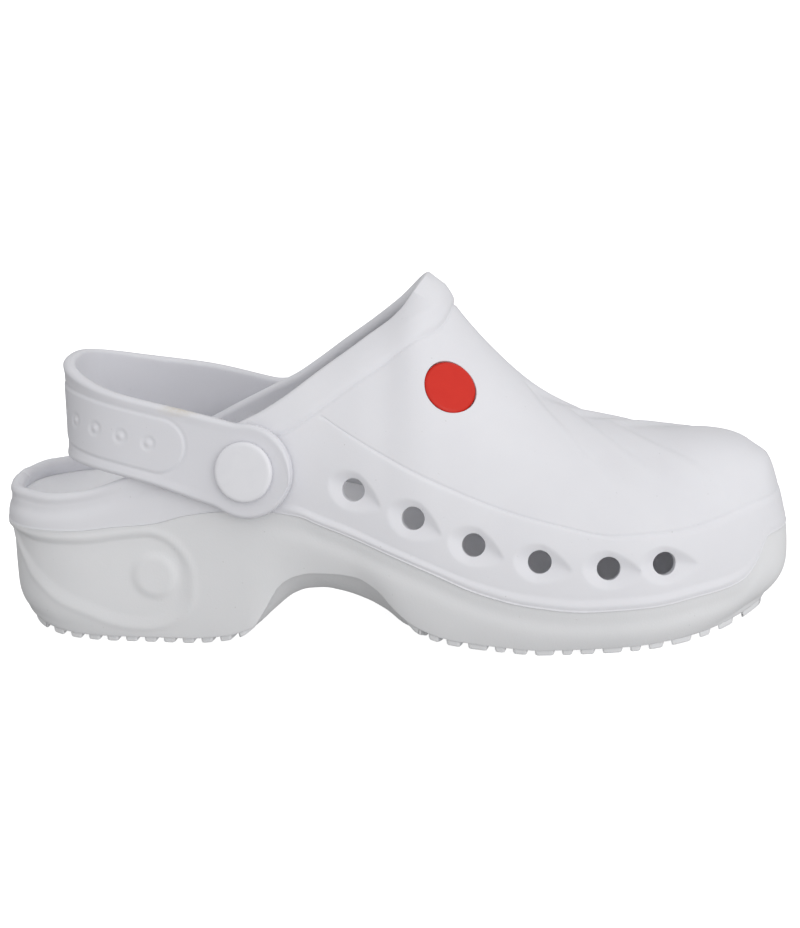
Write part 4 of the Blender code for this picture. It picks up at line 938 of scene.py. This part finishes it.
def vent_hollows(points):
    """Depth of the leaf-shaped hollows: c(|v| / h(u)) k(u), with c(t) between 1 - t^2 and a smooth step. They
    are blunt and round behind the vent and drawn to a tip towards the toe."""
    depth = np.zeros(points.shape[:-1])
    for k, (centre, normal) in enumerate(vent_seats):
        ahead = vent_seats[min(k + 1, len(vent_seats) - 1)][0] - vent_seats[max(k - 1, 0)][0]
        ahead = square_to(ahead, normal)
        up = np.cross(ahead, normal)
        up = up * np.sign(up[2])
        away = points - centre
        u = away @ ahead
        v = away @ up
        back = np.clip(u / HOLLOW_BACK, -1.0, 0.0)
        tail = np.clip(u / HOLLOW_TAIL, 0.0, 1.0)
        spread = np.sqrt(1.0 - back ** 2) * (1.0 - tail) ** 0.8 * (1.0 + 0.5 * tail)
        v = v + HOLLOW_SINK * tail
        reach = np.where(v > 0.0, HOLLOW_UP, HOLLOW_DOWN) * np.maximum(spread, 1e-6)
        t = np.clip(np.abs(v) / reach, 0.0, 1.0)
        along = np.where(u < 0.0, (1.0 - back ** 2) * (1.0 + 0.25 * back), (1.0 - tail) ** 0.75)
        inside = (np.abs(away @ normal) < HOLLOW_REACH) & (u > -HOLLOW_BACK) & (u < HOLLOW_TAIL)
        bowl = 0.5 * (1.0 - t * t) + 0.5 * (1.0 - ramp(t, 0.0, 1.0))
        depth = depth + np.where(inside, HOLLOW_DEPTH * bowl * along, 0.0)
    return depth


def pleats(points):
    """Depth of the pleats: from each crest a quick fall over 4 mm, then a slow rise towards the next crest."""
    x = points[..., 0]
    a = np.abs(points[..., 1])
    depth = np.zeros(points.shape[:-1])
    for crest, fade, width in PLEATS:
        line = flowing(column_of(crest, 0), column_of(crest, 1))
        ahead = x - line(a)
        scoop = ramp(ahead, *PLEAT_FALL) * (1.0 - ramp(ahead, PLEAT_RISE_FROM, width))
        depth = depth + PLEAT_DEPTH * scoop * (1.0 - ramp(a, fade, fade + PLEAT_FADE))
    return depth * ramp(points[..., 2], *PLEAT_HEIGHT)


def upper_relief(points, beta, from_parting, from_step, from_cuff, from_edge, seen):
    """How far the outer face stands proud of the plain skin: bead, ragged flash, side band, cuff and heel rim,
    less the creases, the hollow under the rim, the vent hollows and the pleats."""
    station = points[..., 0] / LENGTH
    bead = BEAD_RISE * (1.0 - ramp(from_parting, *BEAD_FALL)) * ramp(station, *BEAD_START)
    bead = bead * (1.0 - 0.75 * ramp(station, *BEAD_TOE)) * (1.0 - 0.5 * hump(from_parting, 0.0, BEAD_GROOVE))
    arc = arc_of(beta)[:, None] + 0.0 * station
    fast, bend, slow = BURR_WAVES
    jag = 0.5 + 0.5 * np.sin(fast * arc + 1.7 * np.sin(bend * arc)) * np.sin(slow * arc + 0.6)
    ragged = ramp(station, *BURR_START) * (1.0 - ramp(station, *BURR_END))
    flash = (FLASH + BURR * jag * ragged) * hump(from_parting, 0.0, FLASH_WIDTH)
    band = BAND_RISE * (1.0 - ramp(from_step, *BAND_EDGE)) * ramp(from_parting, 0.0, BAND_FOOT)
    band = band * ramp(station, *BAND_START) * (1.0 - 0.5 * ramp(station, *BAND_TOE))
    crease = STEP_CREASE * hump(from_step, 0.0, STEP_CREASE_WIDTH) * seen
    crease = crease * ramp(station, *STEP_START) * (1.0 - 0.6 * ramp(station, *STEP_TOE))
    over = np.clip(from_cuff / (from_cuff + from_edge), 0.0, 1.0)
    swell = CUFF_SWELL * ramp(station, *CUFF_SWELL_START) * 4.0 * over * (1.0 - over)
    groove = CUFF_CREASE * hump(from_cuff, -0.0001, CUFF_CREASE_WIDTH)
    cuff = (CUFF_RISE * ramp(from_cuff, 0.0, CUFF_LIP) + swell - groove) * ramp(station, *CUFF_START)
    rim = RIM_BEAD * (1.0 - ramp(from_edge, *RIM_BEAD_FALL)) - RIM_HOLLOW * hump(from_edge, *RIM_HOLLOW_PLACE)
    rim = rim * (1.0 - ramp(station, *RIM_END))
    return bead + flash + band + cuff + rim - crease - vent_hollows(points) - pleats(points)


lateral_half = spread_columns(270, lambda s: 1.0 + 2.2 * ramp(s, 0.42, 0.46) * (1.0 - ramp(s, 0.89, 0.93)))
medial_half = spread_columns(140, np.ones_like)
upper_beta = np.concatenate([lateral_half, 2.0 * math.pi - medial_half[-2:0:-1]])
upper_skin = Skin(upper_beta)
heights = upper_skin.points[..., 2] - INSTEP_HEIGHT * step_share(upper_skin.points[..., 0] / LENGTH)
free = upper_skin.full - upper_skin.parting
# the cuff is measured straight to the collar edge, so it keeps its width where the ribs meet the edge at a slant
collar_edge = upper_skin.points[:, -1]
near_edge = upper_skin.points[:, WALL_SAMPLES::5]
to_edge = np.array([
    np.linalg.norm(rib[:, None] - collar_edge[None, ::2], axis=-1).min(axis=1) for rib in near_edge
])
widths = CUFF_WIDTH + CUFF_WIDENING * ramp(near_edge[..., 0] / LENGTH, *CUFF_WIDE_FROM)
share_of_width = np.minimum(1.0, free / CUFF_FREE)[:, None]
cuff_gap = np.minimum.accumulate(to_edge - widths * share_of_width, axis=1)
near_run = upper_skin.run[:, WALL_SAMPLES::5]
cuff_at = np.array([np.interp(0.0, -gap, run) for gap, run in zip(cuff_gap, near_run)])
span = cuff_at - upper_skin.parting
over_cuff = (upper_skin.crossing(heights) - upper_skin.parting) / span
# the crease is kept under the cuff by a soft limit: q - log(1 + exp(k (q - m))) / k
past_limit = np.clip(STEP_STIFFNESS * (STEP_LIMIT - over_cuff), -60.0, 60.0)
soft_limit = STEP_LIMIT - np.log1p(np.exp(past_limit)) / STEP_STIFFNESS
step_at = upper_skin.parting + np.maximum(soft_limit, 0.05) * span
seen = (1.0 - ramp(over_cuff, STEP_LIMIT, STEP_HIDDEN))[:, None]


def stretch(start, end, count):
    """Distances spaced evenly from start up to, not including, end, for every rib at once."""
    return start[:, None] + (end - start)[:, None] * np.linspace(0.0, 1.0, count, endpoint=False)[None, :]


# how much of each rib is given to flash, bead, crease and the cuff's edge, less where a rib is short
FLASH_SPAN = 0.0008
BEAD_SPAN = 0.0048
CREASE_SPAN = 0.0036
CREASE_BELOW = 0.0020
CREASE_GAP = 0.0010
CUFF_SPAN = 0.0030
CUFF_BELOW = 0.0012
CUFF_GAP = 0.0006
LONG_RIB = 0.040
CROWDED = 0.0022
fit_scale = np.minimum(1.0, free / LONG_RIB)
near = upper_skin.parting + SEAM
flash_end = near + FLASH_SPAN * fit_scale
bead_end = near + BEAD_SPAN * fit_scale
crease_low = np.maximum(step_at - CREASE_BELOW * fit_scale, bead_end + CREASE_GAP * fit_scale)
crease_high = crease_low + CREASE_SPAN * fit_scale
cuff_low = np.maximum(cuff_at - CUFF_BELOW * fit_scale, crease_high + CUFF_GAP * fit_scale)
cuff_high = cuff_low + CUFF_SPAN * fit_scale
edge_at = upper_skin.full
marks = np.concatenate([
    stretch(near, flash_end, 4),
    stretch(flash_end, bead_end, 9),
    stretch(bead_end, crease_low, 44),
    stretch(crease_low, crease_high, 12),
    stretch(crease_high, cuff_low, 54),
    stretch(cuff_low, cuff_high, 10),
    stretch(cuff_high, edge_at, 10),
    edge_at[:, None],
], axis=1)
points, normals = upper_skin.at(marks)
upper_proud = upper_relief(
    points, upper_beta, marks - upper_skin.parting[:, None], marks - step_at[:, None],
    marks - cuff_at[:, None], edge_at[:, None] - marks, seen,
)
outer_rings = np.swapaxes(points + normals * upper_proud[..., None], 0, 1)
end_normal = normals[:, -1]
before, _ = upper_skin.at((edge_at - 0.001)[:, None])
ahead = square_to(points[:, -1] - before[:, 0], end_normal)
inner_marks = np.concatenate([
    cuff_high[:, None], stretch(crease_low, cuff_low, 18)[:, ::-1], stretch(near, crease_low, 10)[:, ::-1],
], axis=1)
inner_points, inner_normals = upper_skin.at(inner_marks)
inner_upper = np.swapaxes(inner_points - inner_normals * WALL, 0, 1)
# the edge of the collar is a half round over the whole wall
rim_outer = outer_rings[-1]
rim_inner = points[:, -1] - end_normal * WALL
rim_radius = np.linalg.norm(rim_outer - rim_inner, axis=-1, keepdims=True) / 2.0
half_turn = np.linspace(0.0, math.pi, 11)[:, None, None]
rim_way = np.cos(half_turn) * end_normal + np.sin(half_turn) * ahead - ahead
rim_rings = (rim_outer + rim_inner) / 2.0 + rim_radius * rim_way
# rings of the outer face that would crowd the half round are left out
keep = np.linalg.norm(outer_rings - rim_outer, axis=-1).min(axis=1) > CROWDED
upper_rings = np.concatenate([outer_rings[keep], rim_rings, inner_upper])
upper = mesh_piece(
    "clog_upper", upper_rings.reshape(-1, 3), grid_faces(len(upper_rings), len(upper_beta), 0, True, True),
)


def turned(name, profile, point, axis, sides):
    """Solid of revolution: point + radius (cos a e1 + sin a e2) + distance axis, closed on the axis."""
    e1 = unit(np.cross(axis, [0.0, 0.0, 1.0]))
    e2 = np.cross(axis, e1)
    rows = np.array(profile)
    a = np.linspace(0.0, 2.0 * math.pi, sides, endpoint=False)[None, :, None]
    rings = point + rows[:, :1, None] * (np.cos(a) * e1 + np.sin(a) * e2) + rows[:, 1:, None] * axis
    faces = grid_faces(len(rows), sides, 0, False, True)
    last = (len(rows) - 1) * sides
    faces = np.where(faces < sides, 0, np.where(faces >= last, last, faces))
    return mesh_piece(name, rings.reshape(-1, 3), faces)


def punched(piece, cutters):
    """Exact Boolean difference of all cutters at once; edges sharper than 50 degrees are shaded sharp."""
    joined = bpy.data.meshes.new("cutters")
    verts = []
    for cutter in cutters:
        verts.append(np.empty((len(cutter.data.vertices), 3), np.float32))
        cutter.data.vertices.foreach_get("co", verts[-1].ravel())
    starts = np.cumsum([0] + [len(v) for v in verts])
    faces = [
        tuple(i + start for i in face.vertices)
        for cutter, start in zip(cutters, starts) for face in cutter.data.polygons
    ]
    joined.from_pydata(np.concatenate(verts).tolist(), [], faces)
    all_cutters = bpy.data.objects.new("cutters", joined)
    bpy.context.scene.collection.objects.link(all_cutters)
    cut = piece.modifiers.new("holes", "BOOLEAN")
    cut.operation = "DIFFERENCE"
    cut.solver = "EXACT"
    cut.object = all_cutters
    old = piece.data
    piece.data = bpy.data.meshes.new_from_object(piece.evaluated_get(bpy.context.evaluated_depsgraph_get()))
    piece.modifiers.clear()
    bpy.data.meshes.remove(old)
    for thing in [*cutters, all_cutters]:
        bpy.data.objects.remove(thing)
    piece.data.polygons.foreach_set("use_smooth", np.ones(len(piece.data.polygons), bool))
    piece.data.set_sharp_from_angle(angle=math.radians(50.0))


def pin(point, axis, radius, start, end, sides=56):
    """Plain round cutter along an axis from start to end."""
    return turned("cutter", ((0.0, start), (radius, start), (radius, end), (0.0, end)), point, axis, sides)


button_seat, button_normal = seat(BUTTON_STATION / LENGTH, BUTTON_HEIGHT, True)
rivet_seats = {lateral: seat(RIVET_STATION / LENGTH, RIVET_HEIGHT, lateral) for lateral in (True, False)}
punched(upper, [
    *(pin(centre, normal, VENT_RADIUS, *VENT_CUT) for centre, normal in vent_seats),
    pin(button_seat, button_normal, BUTTON_RADIUS + BUTTON_FIT, -BUTTON_POCKET, VENT_CUT[1], 80),
    *(pin(centre, normal, POST_RADIUS + FIT, *RIVET_CUT, 32) for centre, normal in rivet_seats.values()),
])

# White EVA of the upper: a trace bluer and more satin than the sole, with a slightly finer grain of the mould.
upper_foam = moulded_foam(
    "EVA foam, moulded, white upper", "#EAEAEE", "#E2E2E7", "#8E8A84",
    grain=0.0006, rough=0.52, grain_depth=0.00006,
)
upper.data.materials.append(upper_foam[0])
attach(upper, "root")
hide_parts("upper")


# Button: a plain round plug of orange-red soft plastic, pressed into a pocket of the outer side.
# Its edge is chamfered and its face is very slightly domed.
BUTTON_THICKNESS = 0.0019
BUTTON_CHAMFER = 0.0012
DOME = 0.0002
button_low = FIT - BUTTON_POCKET
# inset from the edge and height over the bottom, in metres, from the edge of the bottom up to the face
BUTTON_EDGE = np.array((
    (0.0005, 0.0), (0.0, 0.0004), (0.0, 0.0010), (0.00006, 0.00118), (0.0002, 0.0013), (0.0007, 0.00158),
    (0.00095, 0.00167),
))
button_share = np.linspace(1.0, 0.0, 14)[:, None]
button_face = np.concatenate([
    (BUTTON_RADIUS - BUTTON_CHAMFER) * button_share,
    button_low + BUTTON_THICKNESS - DOME * button_share ** 2,
], axis=1)
button_profile = np.concatenate([
    [(0.0, button_low)], BUTTON_EDGE * (-1.0, 1.0) + (BUTTON_RADIUS, button_low), button_face,
])
button = turned("clog_button", button_profile, button_seat, button_normal, 96)


def moulded_plastic(name, colour, shade, rough, coat, grain, grain_depth):
    """Injection-moulded plastic with a satin face: even colour, a trace of flow marks, a fine orange peel."""
    material, tree, shader = material_start(name, {"IOR": 1.46, "Coat Weight": coat, "Coat Roughness": 0.25})
    spot = add(tree, "ShaderNodeTexCoord").outputs["Object"]
    flow = add(tree, "ShaderNodeTexNoise", {"Scale": 160.0, "Detail": 2.0, "Distortion": 0.8}, {"Vector": spot})
    tone = add(
        tree, "ShaderNodeMix", {6: linear(colour), 7: linear(shade)}, {"Factor": flow.outputs["Fac"]},
        data_type="RGBA",
    )
    gloss = add(
        tree, "ShaderNodeMapRange",
        {"From Min": 0.3, "From Max": 0.7, "To Min": rough - 0.04, "To Max": rough + 0.05},
        {"Value": flow.outputs["Fac"]},
    )
    peel = add(tree, "ShaderNodeTexNoise", {"Scale": 1.0 / grain, "Detail": 2.0}, {"Vector": spot})
    bump = add(
        tree, "ShaderNodeBump", {"Strength": 0.4, "Distance": grain_depth}, {"Height": peel.outputs["Fac"]},
    )
    tree.links.new(tone.outputs[2], shader.inputs["Base Color"])
    tree.links.new(gloss.outputs["Result"], shader.inputs["Roughness"])
    tree.links.new(bump.outputs["Normal"], shader.inputs["Normal"])
    return material


# Soft PVC, orange red, satin from a fine matt mould.
button_plastic = moulded_plastic(
    "soft PVC, orange red", "#D62000", "#CE1A00", rough=0.46, coat=0.0, grain=0.0008, grain_depth=0.00004,
)
button.data.materials.append(button_plastic)
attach(button, "root")
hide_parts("button")


# Heel strap: a foam band that swings on two rivets, moulded flat and bent round the heel. Its ends are round
# lobes, both edges carry a rounded bead, and a raised plate round the back holds a row of small rings with a pip
# in each.
STRAP_THICKNESS = 0.0040
LOBE_RADIUS = 0.0161
STRAP_TILT = 0.267
STRAP_BEAD = 0.0004
STRAP_BEAD_FALL = (0.0009, 0.0042)
PLATE_HALF = 0.0609
PLATE_RADIUS = 0.0091
PLATE_RISE = 0.00028
PLATE_GROOVE = 0.0002
RING_PITCH = 0.0104
RING_COUNT = 12
RING_RADIUS = 0.0028
RING_DEPTH = 0.00035
PIP_RISE = 0.0006
PIP_WIDTH = 0.0011
STRAP_EDGE = 0.0015
STRAP_CUT = (-0.002, 0.008)
LOBE_BAND = 0.0147
LOBE_RUN = 0.010
LOBE_REACH = 0.030
LEAN_FADE = (0.10, 0.40)
LOBE_NECK = (0.014, 0.024)
LOBE_EASE = 0.0009
LOBE_TRIM = 0.00012
TIP = 0.00005
RUB_FROM_HEEL = 0.0690
RUB_SIZE = np.array([0.009, 0.006, 0.0028])

# distance from the middle over BALL_WIDTH, station of the strap's middle, its height over INSTEP_HEIGHT, its
# half width in metres
STRAP = (
    (0.000, 0.0950, 0.642, 0.0170), (0.080, 0.0972, 0.641, 0.0168), (0.160, 0.1060, 0.636, 0.0160),
    (0.236, 0.1225, 0.629, 0.0148), (0.299, 0.1490, 0.617, 0.0140), (0.345, 0.1890, 0.600, 0.0137),
    (0.373, 0.2400, 0.576, 0.0139),
)


def strap_rows(lateral):
    """The strap's middle line on one side, from the lobe to the back: points, width directions, half widths."""
    here, normal = rivet_seats[lateral]
    fore = square_to(np.array([1.0, 0.0, -STRAP_TILT]), normal)
    wide = np.cross(fore, normal)
    wide = wide * np.sign(wide[2])
    rivet = here + normal * (FIT + STRAP_THICKNESS / 2.0)
    side_sign = -1.0 if lateral else 1.0
    rows = [rivet + fore * LOBE_RADIUS, rivet, rivet - fore * LOBE_RUN]
    lean = [wide, wide, wide]
    band = [LOBE_BAND, LOBE_BAND, LOBE_BAND]
    for share, station, height, half_band in reversed(STRAP):
        rows.append(np.array([LENGTH * station, side_sign * BALL_WIDTH * share, INSTEP_HEIGHT * height]))
        fade = ramp(share, *LEAN_FADE)
        lean.append(wide * fade + np.array([0.0, 0.0, 1.0]) * (1.0 - fade))
        band.append(half_band)
    return rows, lean, band


strap_points, strap_lean, strap_band = (
    np.array(lateral + medial[::-1][1:]) for lateral, medial in zip(strap_rows(True), strap_rows(False))
)
strap_run = np.concatenate([[0.0], np.cumsum(np.linalg.norm(np.diff(strap_points, axis=0), axis=-1))])
strap_at = [flowing(strap_run, strap_points[:, axis]) for axis in range(3)]
lean_at = [flowing(strap_run, strap_lean[:, axis]) for axis in range(3)]
band_at = flowing(strap_run, strap_band)
first = strap_run[1]
last = strap_run[-2]
back_of_heel = (strap_run[0] + strap_run[-1]) / 2.0


def strap_half_width(s):
    """Half width of the band or, where it is wider, of the round lobe about each rivet, sqrt(R^2 - d^2), eased
    where the two meet."""
    plain = band_at(s)
    reach = np.minimum(np.abs(s - first), np.abs(s - last))
    lobe = np.sqrt(np.maximum(LOBE_RADIUS ** 2 - reach ** 2, 0.0))
    outside = (s < first) | (s > last)
    soft = 0.5 * (plain + lobe + np.sqrt((plain - lobe) ** 2 + LOBE_EASE ** 2)) - LOBE_TRIM
    return np.where(outside, lobe, np.where(reach < LOBE_REACH, np.maximum(soft, plain), plain))


def strap_relief(s, y, half_at):
    """Height on the outer face: edge beads, raised plate with a fine groove round it, rings with pips."""
    edge = half_at - np.abs(y)
    on_band = ramp(np.minimum(np.abs(s - first), np.abs(s - last)), *LOBE_NECK) * ((s > first) & (s < last))
    beads = STRAP_BEAD * (1.0 - ramp(edge, *STRAP_BEAD_FALL)) * (0.35 + 0.65 * on_band)
    along = s - back_of_heel
    away = np.hypot(np.maximum(np.abs(along) - PLATE_HALF, 0.0), y) - PLATE_RADIUS
    plate = PLATE_RISE * (1.0 - ramp(away, -0.0004, 0.0003)) - PLATE_GROOVE * hump(away, 0.0006, 0.0006)
    place = np.clip(np.round(along / RING_PITCH - 0.5), -RING_COUNT / 2, RING_COUNT / 2 - 1) + 0.5
    r = np.hypot(along - place * RING_PITCH, y)
    ring = RING_DEPTH * (1.0 - ramp(r, 0.6 * RING_RADIUS, 1.1 * RING_RADIUS))
    return beads + plate - ring + PIP_RISE * hump(r, 0.0, PIP_WIDTH)


end_turn = np.radians(np.linspace(0.0, 90.0, 26))[1:]
strap_s = np.concatenate([
    first - LOBE_RADIUS * np.cos(end_turn), np.linspace(first, last, 560)[1:-1],
    last + LOBE_RADIUS * np.cos(end_turn[::-1]),
])
strap_here = np.stack([f(strap_s) for f in strap_at], axis=-1)
strap_ahead = unit(np.stack([f(strap_s + 1e-4) - f(strap_s - 1e-4) for f in strap_at], axis=-1))
strap_wide = square_to(np.stack([f(strap_s) for f in lean_at], axis=-1), strap_ahead)
strap_out = np.cross(strap_wide, strap_ahead)
half_at = strap_half_width(strap_s)[:, None]
inset_edge = np.minimum(STRAP_EDGE, 0.9 * half_at)
half_thick = STRAP_THICKNESS / 2.0
# one loop of the section: outer face, rounded edge, inner face, rounded edge
edge_turn = np.radians(np.linspace(90.0, 0.0, 6))[None, 1:]
outer_across = np.linspace(-1.0, 1.0, 58)[None, :] * (half_at - inset_edge)
inner_across = np.linspace(1.0, -1.0, 16)[None, :] * (half_at - inset_edge)
edge_across = half_at - inset_edge * (1.0 - np.cos(edge_turn))
edge_depth = half_thick - inset_edge * (1.0 - np.sin(edge_turn))
face_relief = strap_relief(strap_s[:, None], outer_across, half_at)
edge_share = np.sin(edge_turn) ** 2
across = np.concatenate([
    outer_across, edge_across, edge_across[:, ::-1], inner_across, -edge_across, -edge_across[:, ::-1],
], axis=1)
depth = np.concatenate([
    half_thick + face_relief, edge_depth + face_relief[:, -1:] * edge_share, -edge_depth[:, ::-1],
    np.full(inner_across.shape, -half_thick), -edge_depth,
    edge_depth[:, ::-1] + face_relief[:, :1] * edge_share[:, ::-1],
], axis=1)
strap_loops = (
    strap_here[:, None] + across[..., None] * strap_wide[:, None] + depth[..., None] * strap_out[:, None]
)
# each end closes to a point of the lobe's rim
tips = np.stack([strap_here[0] - strap_ahead[0] * TIP, strap_here[-1] + strap_ahead[-1] * TIP])
strap_verts, strap_faces = closed_ends(strap_loops, tips)
strap = mesh_piece("clog_strap", strap_verts, strap_faces)
punched(strap, [
    pin(centre, normal, POST_RADIUS + FIT, *STRAP_CUT, 32) for centre, normal in rivet_seats.values()
])

# White EVA of the strap, darker and a shade cooler than the upper: painted shade, as it curves away round the
# heel.
strap_foam, strap_tree, strap_shader, strap_tint, strap_spot = moulded_foam(
    "EVA foam, moulded, white strap", "#E4E4E9", "#DDDDE2", "#8E8A84",
    grain=0.0006, rough=0.52, grain_depth=0.00006,
)
# A small yellowish rub on the top edge of the outer side, 16 mm long, broken up by noise.
rub_place = np.argmin(np.abs(strap_here[:, 0] - RUB_FROM_HEEL) + (strap_here[:, 1] > 0.0))
rub_centre = strap_here[rub_place] + strap_wide[rub_place] * half_at[rub_place] + SHIFT
rub_map = add(
    strap_tree, "ShaderNodeMapping",
    {"Location": tuple((-rub_centre / RUB_SIZE).tolist()), "Scale": tuple((1.0 / RUB_SIZE).tolist())},
    {"Vector": strap_spot},
)
rub_shape = add(
    strap_tree, "ShaderNodeTexGradient", {}, {"Vector": rub_map.outputs["Vector"]}, gradient_type="SPHERICAL",
)
rub_grain = add(strap_tree, "ShaderNodeTexNoise", {"Scale": 700.0, "Detail": 3.0}, {"Vector": strap_spot})
rub_amount = add(
    strap_tree, "ShaderNodeMath", {}, {0: rub_shape.outputs["Fac"], 1: rub_grain.outputs["Fac"]},
    operation="MULTIPLY",
)
rub_tone = add(
    strap_tree, "ShaderNodeMix", {7: linear("#C9BC9E")},
    {"Factor": rub_amount.outputs["Value"], 6: strap_tint.outputs[2]}, data_type="RGBA",
)
strap_tree.links.new(rub_tone.outputs[2], strap_shader.inputs["Base Color"])
strap.data.materials.append(strap_foam)
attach(strap, "root")
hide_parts("heel_strap")


# Rivets: a flat round cap with a post on each side of the collar, of hard white plastic. The post goes through
# strap and wall, and a smaller head inside the shoe holds it. The caps are plain.
CAP_RADIUS = 0.0103
CAP_THICKNESS = 0.0022
CAP_CHAMFER = 0.0017
BACK_RADIUS = 0.0065
BACK_THICKNESS = 0.0014
BACK_FIT = 0.0005
under_cap = STRAP_THICKNESS + 2.0 * FIT
cap_top = under_cap + CAP_THICKNESS
cap_share = np.linspace(1.0, 0.0, 12)[:, None]
# inset from the cap's edge and depth under its top, in metres
CAP_EDGE = np.array((
    (0.0, 0.0011), (0.00008, 0.0007), (0.0003, 0.00038), (0.0007, 0.00015), (0.0012, 0.00003),
))
cap_profile = np.concatenate([
    [(0.0, -WALL), (POST_RADIUS, -WALL), (POST_RADIUS, under_cap), (CAP_RADIUS - 0.0004, under_cap)],
    [(CAP_RADIUS - 0.0001, under_cap + 0.0001), (CAP_RADIUS, under_cap + 0.0005)],
    (CAP_RADIUS, cap_top) - CAP_EDGE,
    np.concatenate([(CAP_RADIUS - CAP_CHAMFER) * cap_share, cap_top + DOME * (1.0 - cap_share ** 2)], axis=1),
])
head_top = -WALL - BACK_FIT
head_low = head_top - BACK_THICKNESS
head_profile = (
    (0.0, head_low), (BACK_RADIUS - 0.0012, head_low), (BACK_RADIUS - 0.0004, head_low + 0.0002),
    (BACK_RADIUS, head_low + 0.0007), (BACK_RADIUS, head_top - 0.0001), (BACK_RADIUS - 0.0001, head_top),
    (0.0, head_top),
)
# Hard polypropylene, satin, a trace cooler than the foam.
rivet_plastic = moulded_plastic(
    "polypropylene, white", "#ECECF0", "#E6E6EB", rough=0.38, coat=0.12, grain=0.0012, grain_depth=0.00004,
)
for side_name, lateral in (("lateral", True), ("medial", False)):
    centre, normal = rivet_seats[lateral]
    for name, node, profile in (
        ("clog_cap_", "rivet_", cap_profile), ("clog_head_", "rivet_back_", head_profile),
    ):
        piece = turned(name + side_name, profile, centre, normal, 88)
        piece.data.set_sharp_from_angle(angle=math.radians(60.0))
        piece.data.materials.append(rivet_plastic)
        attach(piece, "root")
        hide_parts(node + side_name)


# Setting: a plain white sweep under the shoe, big soft boxes above, to the toe side and behind the heel, and the
# camera of a catalogue photograph, level with the shoe and a little above it.
scene = bpy.context.scene
scene.view_settings.view_transform = "Standard"
floor_mesh = bpy.data.meshes.new("studio_floor")
corners = [(-9.0, -9.0, 0.0), (9.0, -9.0, 0.0), (9.0, 9.0, 0.0), (-9.0, 9.0, 0.0)]
floor_mesh.from_pydata(corners, [], [(0, 1, 2, 3)])
floor = bpy.data.objects.new("studio_floor", floor_mesh)
scene.collection.objects.link(floor)
paper, _, _ = material_start("white studio paper", {
    "Base Color": (0.9, 0.9, 0.9, 1.0), "Roughness": 0.9, "Specular IOR Level": 0.0,
    "Emission Color": (1.0, 1.0, 1.0, 1.0), "Emission Strength": 0.75,
})
floor_mesh.materials.append(paper)
# the paper is seen, but the light that it would throw up under the shoe is held back, as black flags do
floor.visible_diffuse = False
floor.visible_glossy = False

# light from all round, strongest from above and from the toe on the camera's side
world = bpy.data.worlds.new("soft studio")
world.use_nodes = True
backdrop = world.node_tree.nodes["Background"]
backdrop.inputs["Color"].default_value = (1.0, 1.0, 1.0, 1.0)
way = add(world.node_tree, "ShaderNodeTexCoord").outputs["Generated"]
facing = add(
    world.node_tree, "ShaderNodeVectorMath", {1: (0.60, -0.53, 0.60)}, {0: way}, operation="DOT_PRODUCT",
)
glow = add(
    world.node_tree, "ShaderNodeMapRange", {"From Min": -1.0, "From Max": 1.0, "To Min": 0.12, "To Max": 0.98},
    {"Value": facing.outputs["Value"]},
)
world.node_tree.links.new(glow.outputs["Result"], backdrop.inputs["Strength"])
scene.world = world


def placed(thing, right, up, back, place):
    """Object linked to the scene with its own axes turned right, up and back."""
    scene.collection.objects.link(thing)
    axes = np.stack([right, up, back, place], axis=-1)
    thing.matrix_world = Matrix(axes.tolist() + [[0.0, 0.0, 0.0, 1.0]])


def soft_box(name, place, aim, size, power):
    """Square area light at a place, turned to a point, in watts."""
    light = bpy.data.lights.new(name, "AREA")
    light.shape = "SQUARE"
    light.size = size
    light.energy = power
    back = unit(np.array(place) - np.array(aim))
    right = unit(np.cross([0.0, 0.0, 1.0], back))
    placed(bpy.data.objects.new(name, light), right, np.cross(back, right), back, np.array(place))


soft_box("key", (1.4, -1.7, 0.55), (0.03, 0.0, 0.05), 1.2, 9.0)
soft_box("top", (-0.2, -0.2, 1.8), (-0.05, 0.0, 0.05), 1.4, 1.0)
soft_box("heel side", (-1.25, -0.15, 0.46), (-0.12, 0.0, 0.06), 0.8, 1.1)

# The camera stands 1.1 m off, turned 9.5 degrees towards the toe and 13 degrees up, and is rolled as the
# photograph is. The picture is 800 by 928 pixels, and its axis is a little off the middle.
AZIMUTH = math.radians(9.5)
ELEVATION = math.radians(13.0)
ROLL = math.radians(-2.429)
DISTANCE = 1.1
FOCAL_PIXELS = 3144.4
PICTURE_HEIGHT = 928.0
SENSOR = 36.0
LOOK_AT = np.array([0.137, 0.0, 0.060]) + SHIFT
off_centre = (np.array([388.298, 452.827]) - np.array([400.0, 464.0])) / FOCAL_PIXELS * DISTANCE
back_way = np.array([
    math.sin(AZIMUTH) * math.cos(ELEVATION), -math.cos(AZIMUTH) * math.cos(ELEVATION), math.sin(ELEVATION),
])
level = np.array([math.cos(AZIMUTH), math.sin(AZIMUTH), 0.0])
upright = np.cross(back_way, level)
right_way = level * math.cos(ROLL) + upright * math.sin(ROLL)
up_way = upright * math.cos(ROLL) - level * math.sin(ROLL)
eye = LOOK_AT + back_way * DISTANCE - right_way * off_centre[0] + up_way * off_centre[1]
lens = bpy.data.cameras.new("catalogue camera")
lens.sensor_width = SENSOR
lens.lens = FOCAL_PIXELS / PICTURE_HEIGHT * SENSOR
lens.clip_start = 0.05
lens.clip_end = 60.0
camera = bpy.data.objects.new("catalogue camera", lens)
placed(camera, right_way, up_way, back_way, eye)
scene.camera = camera
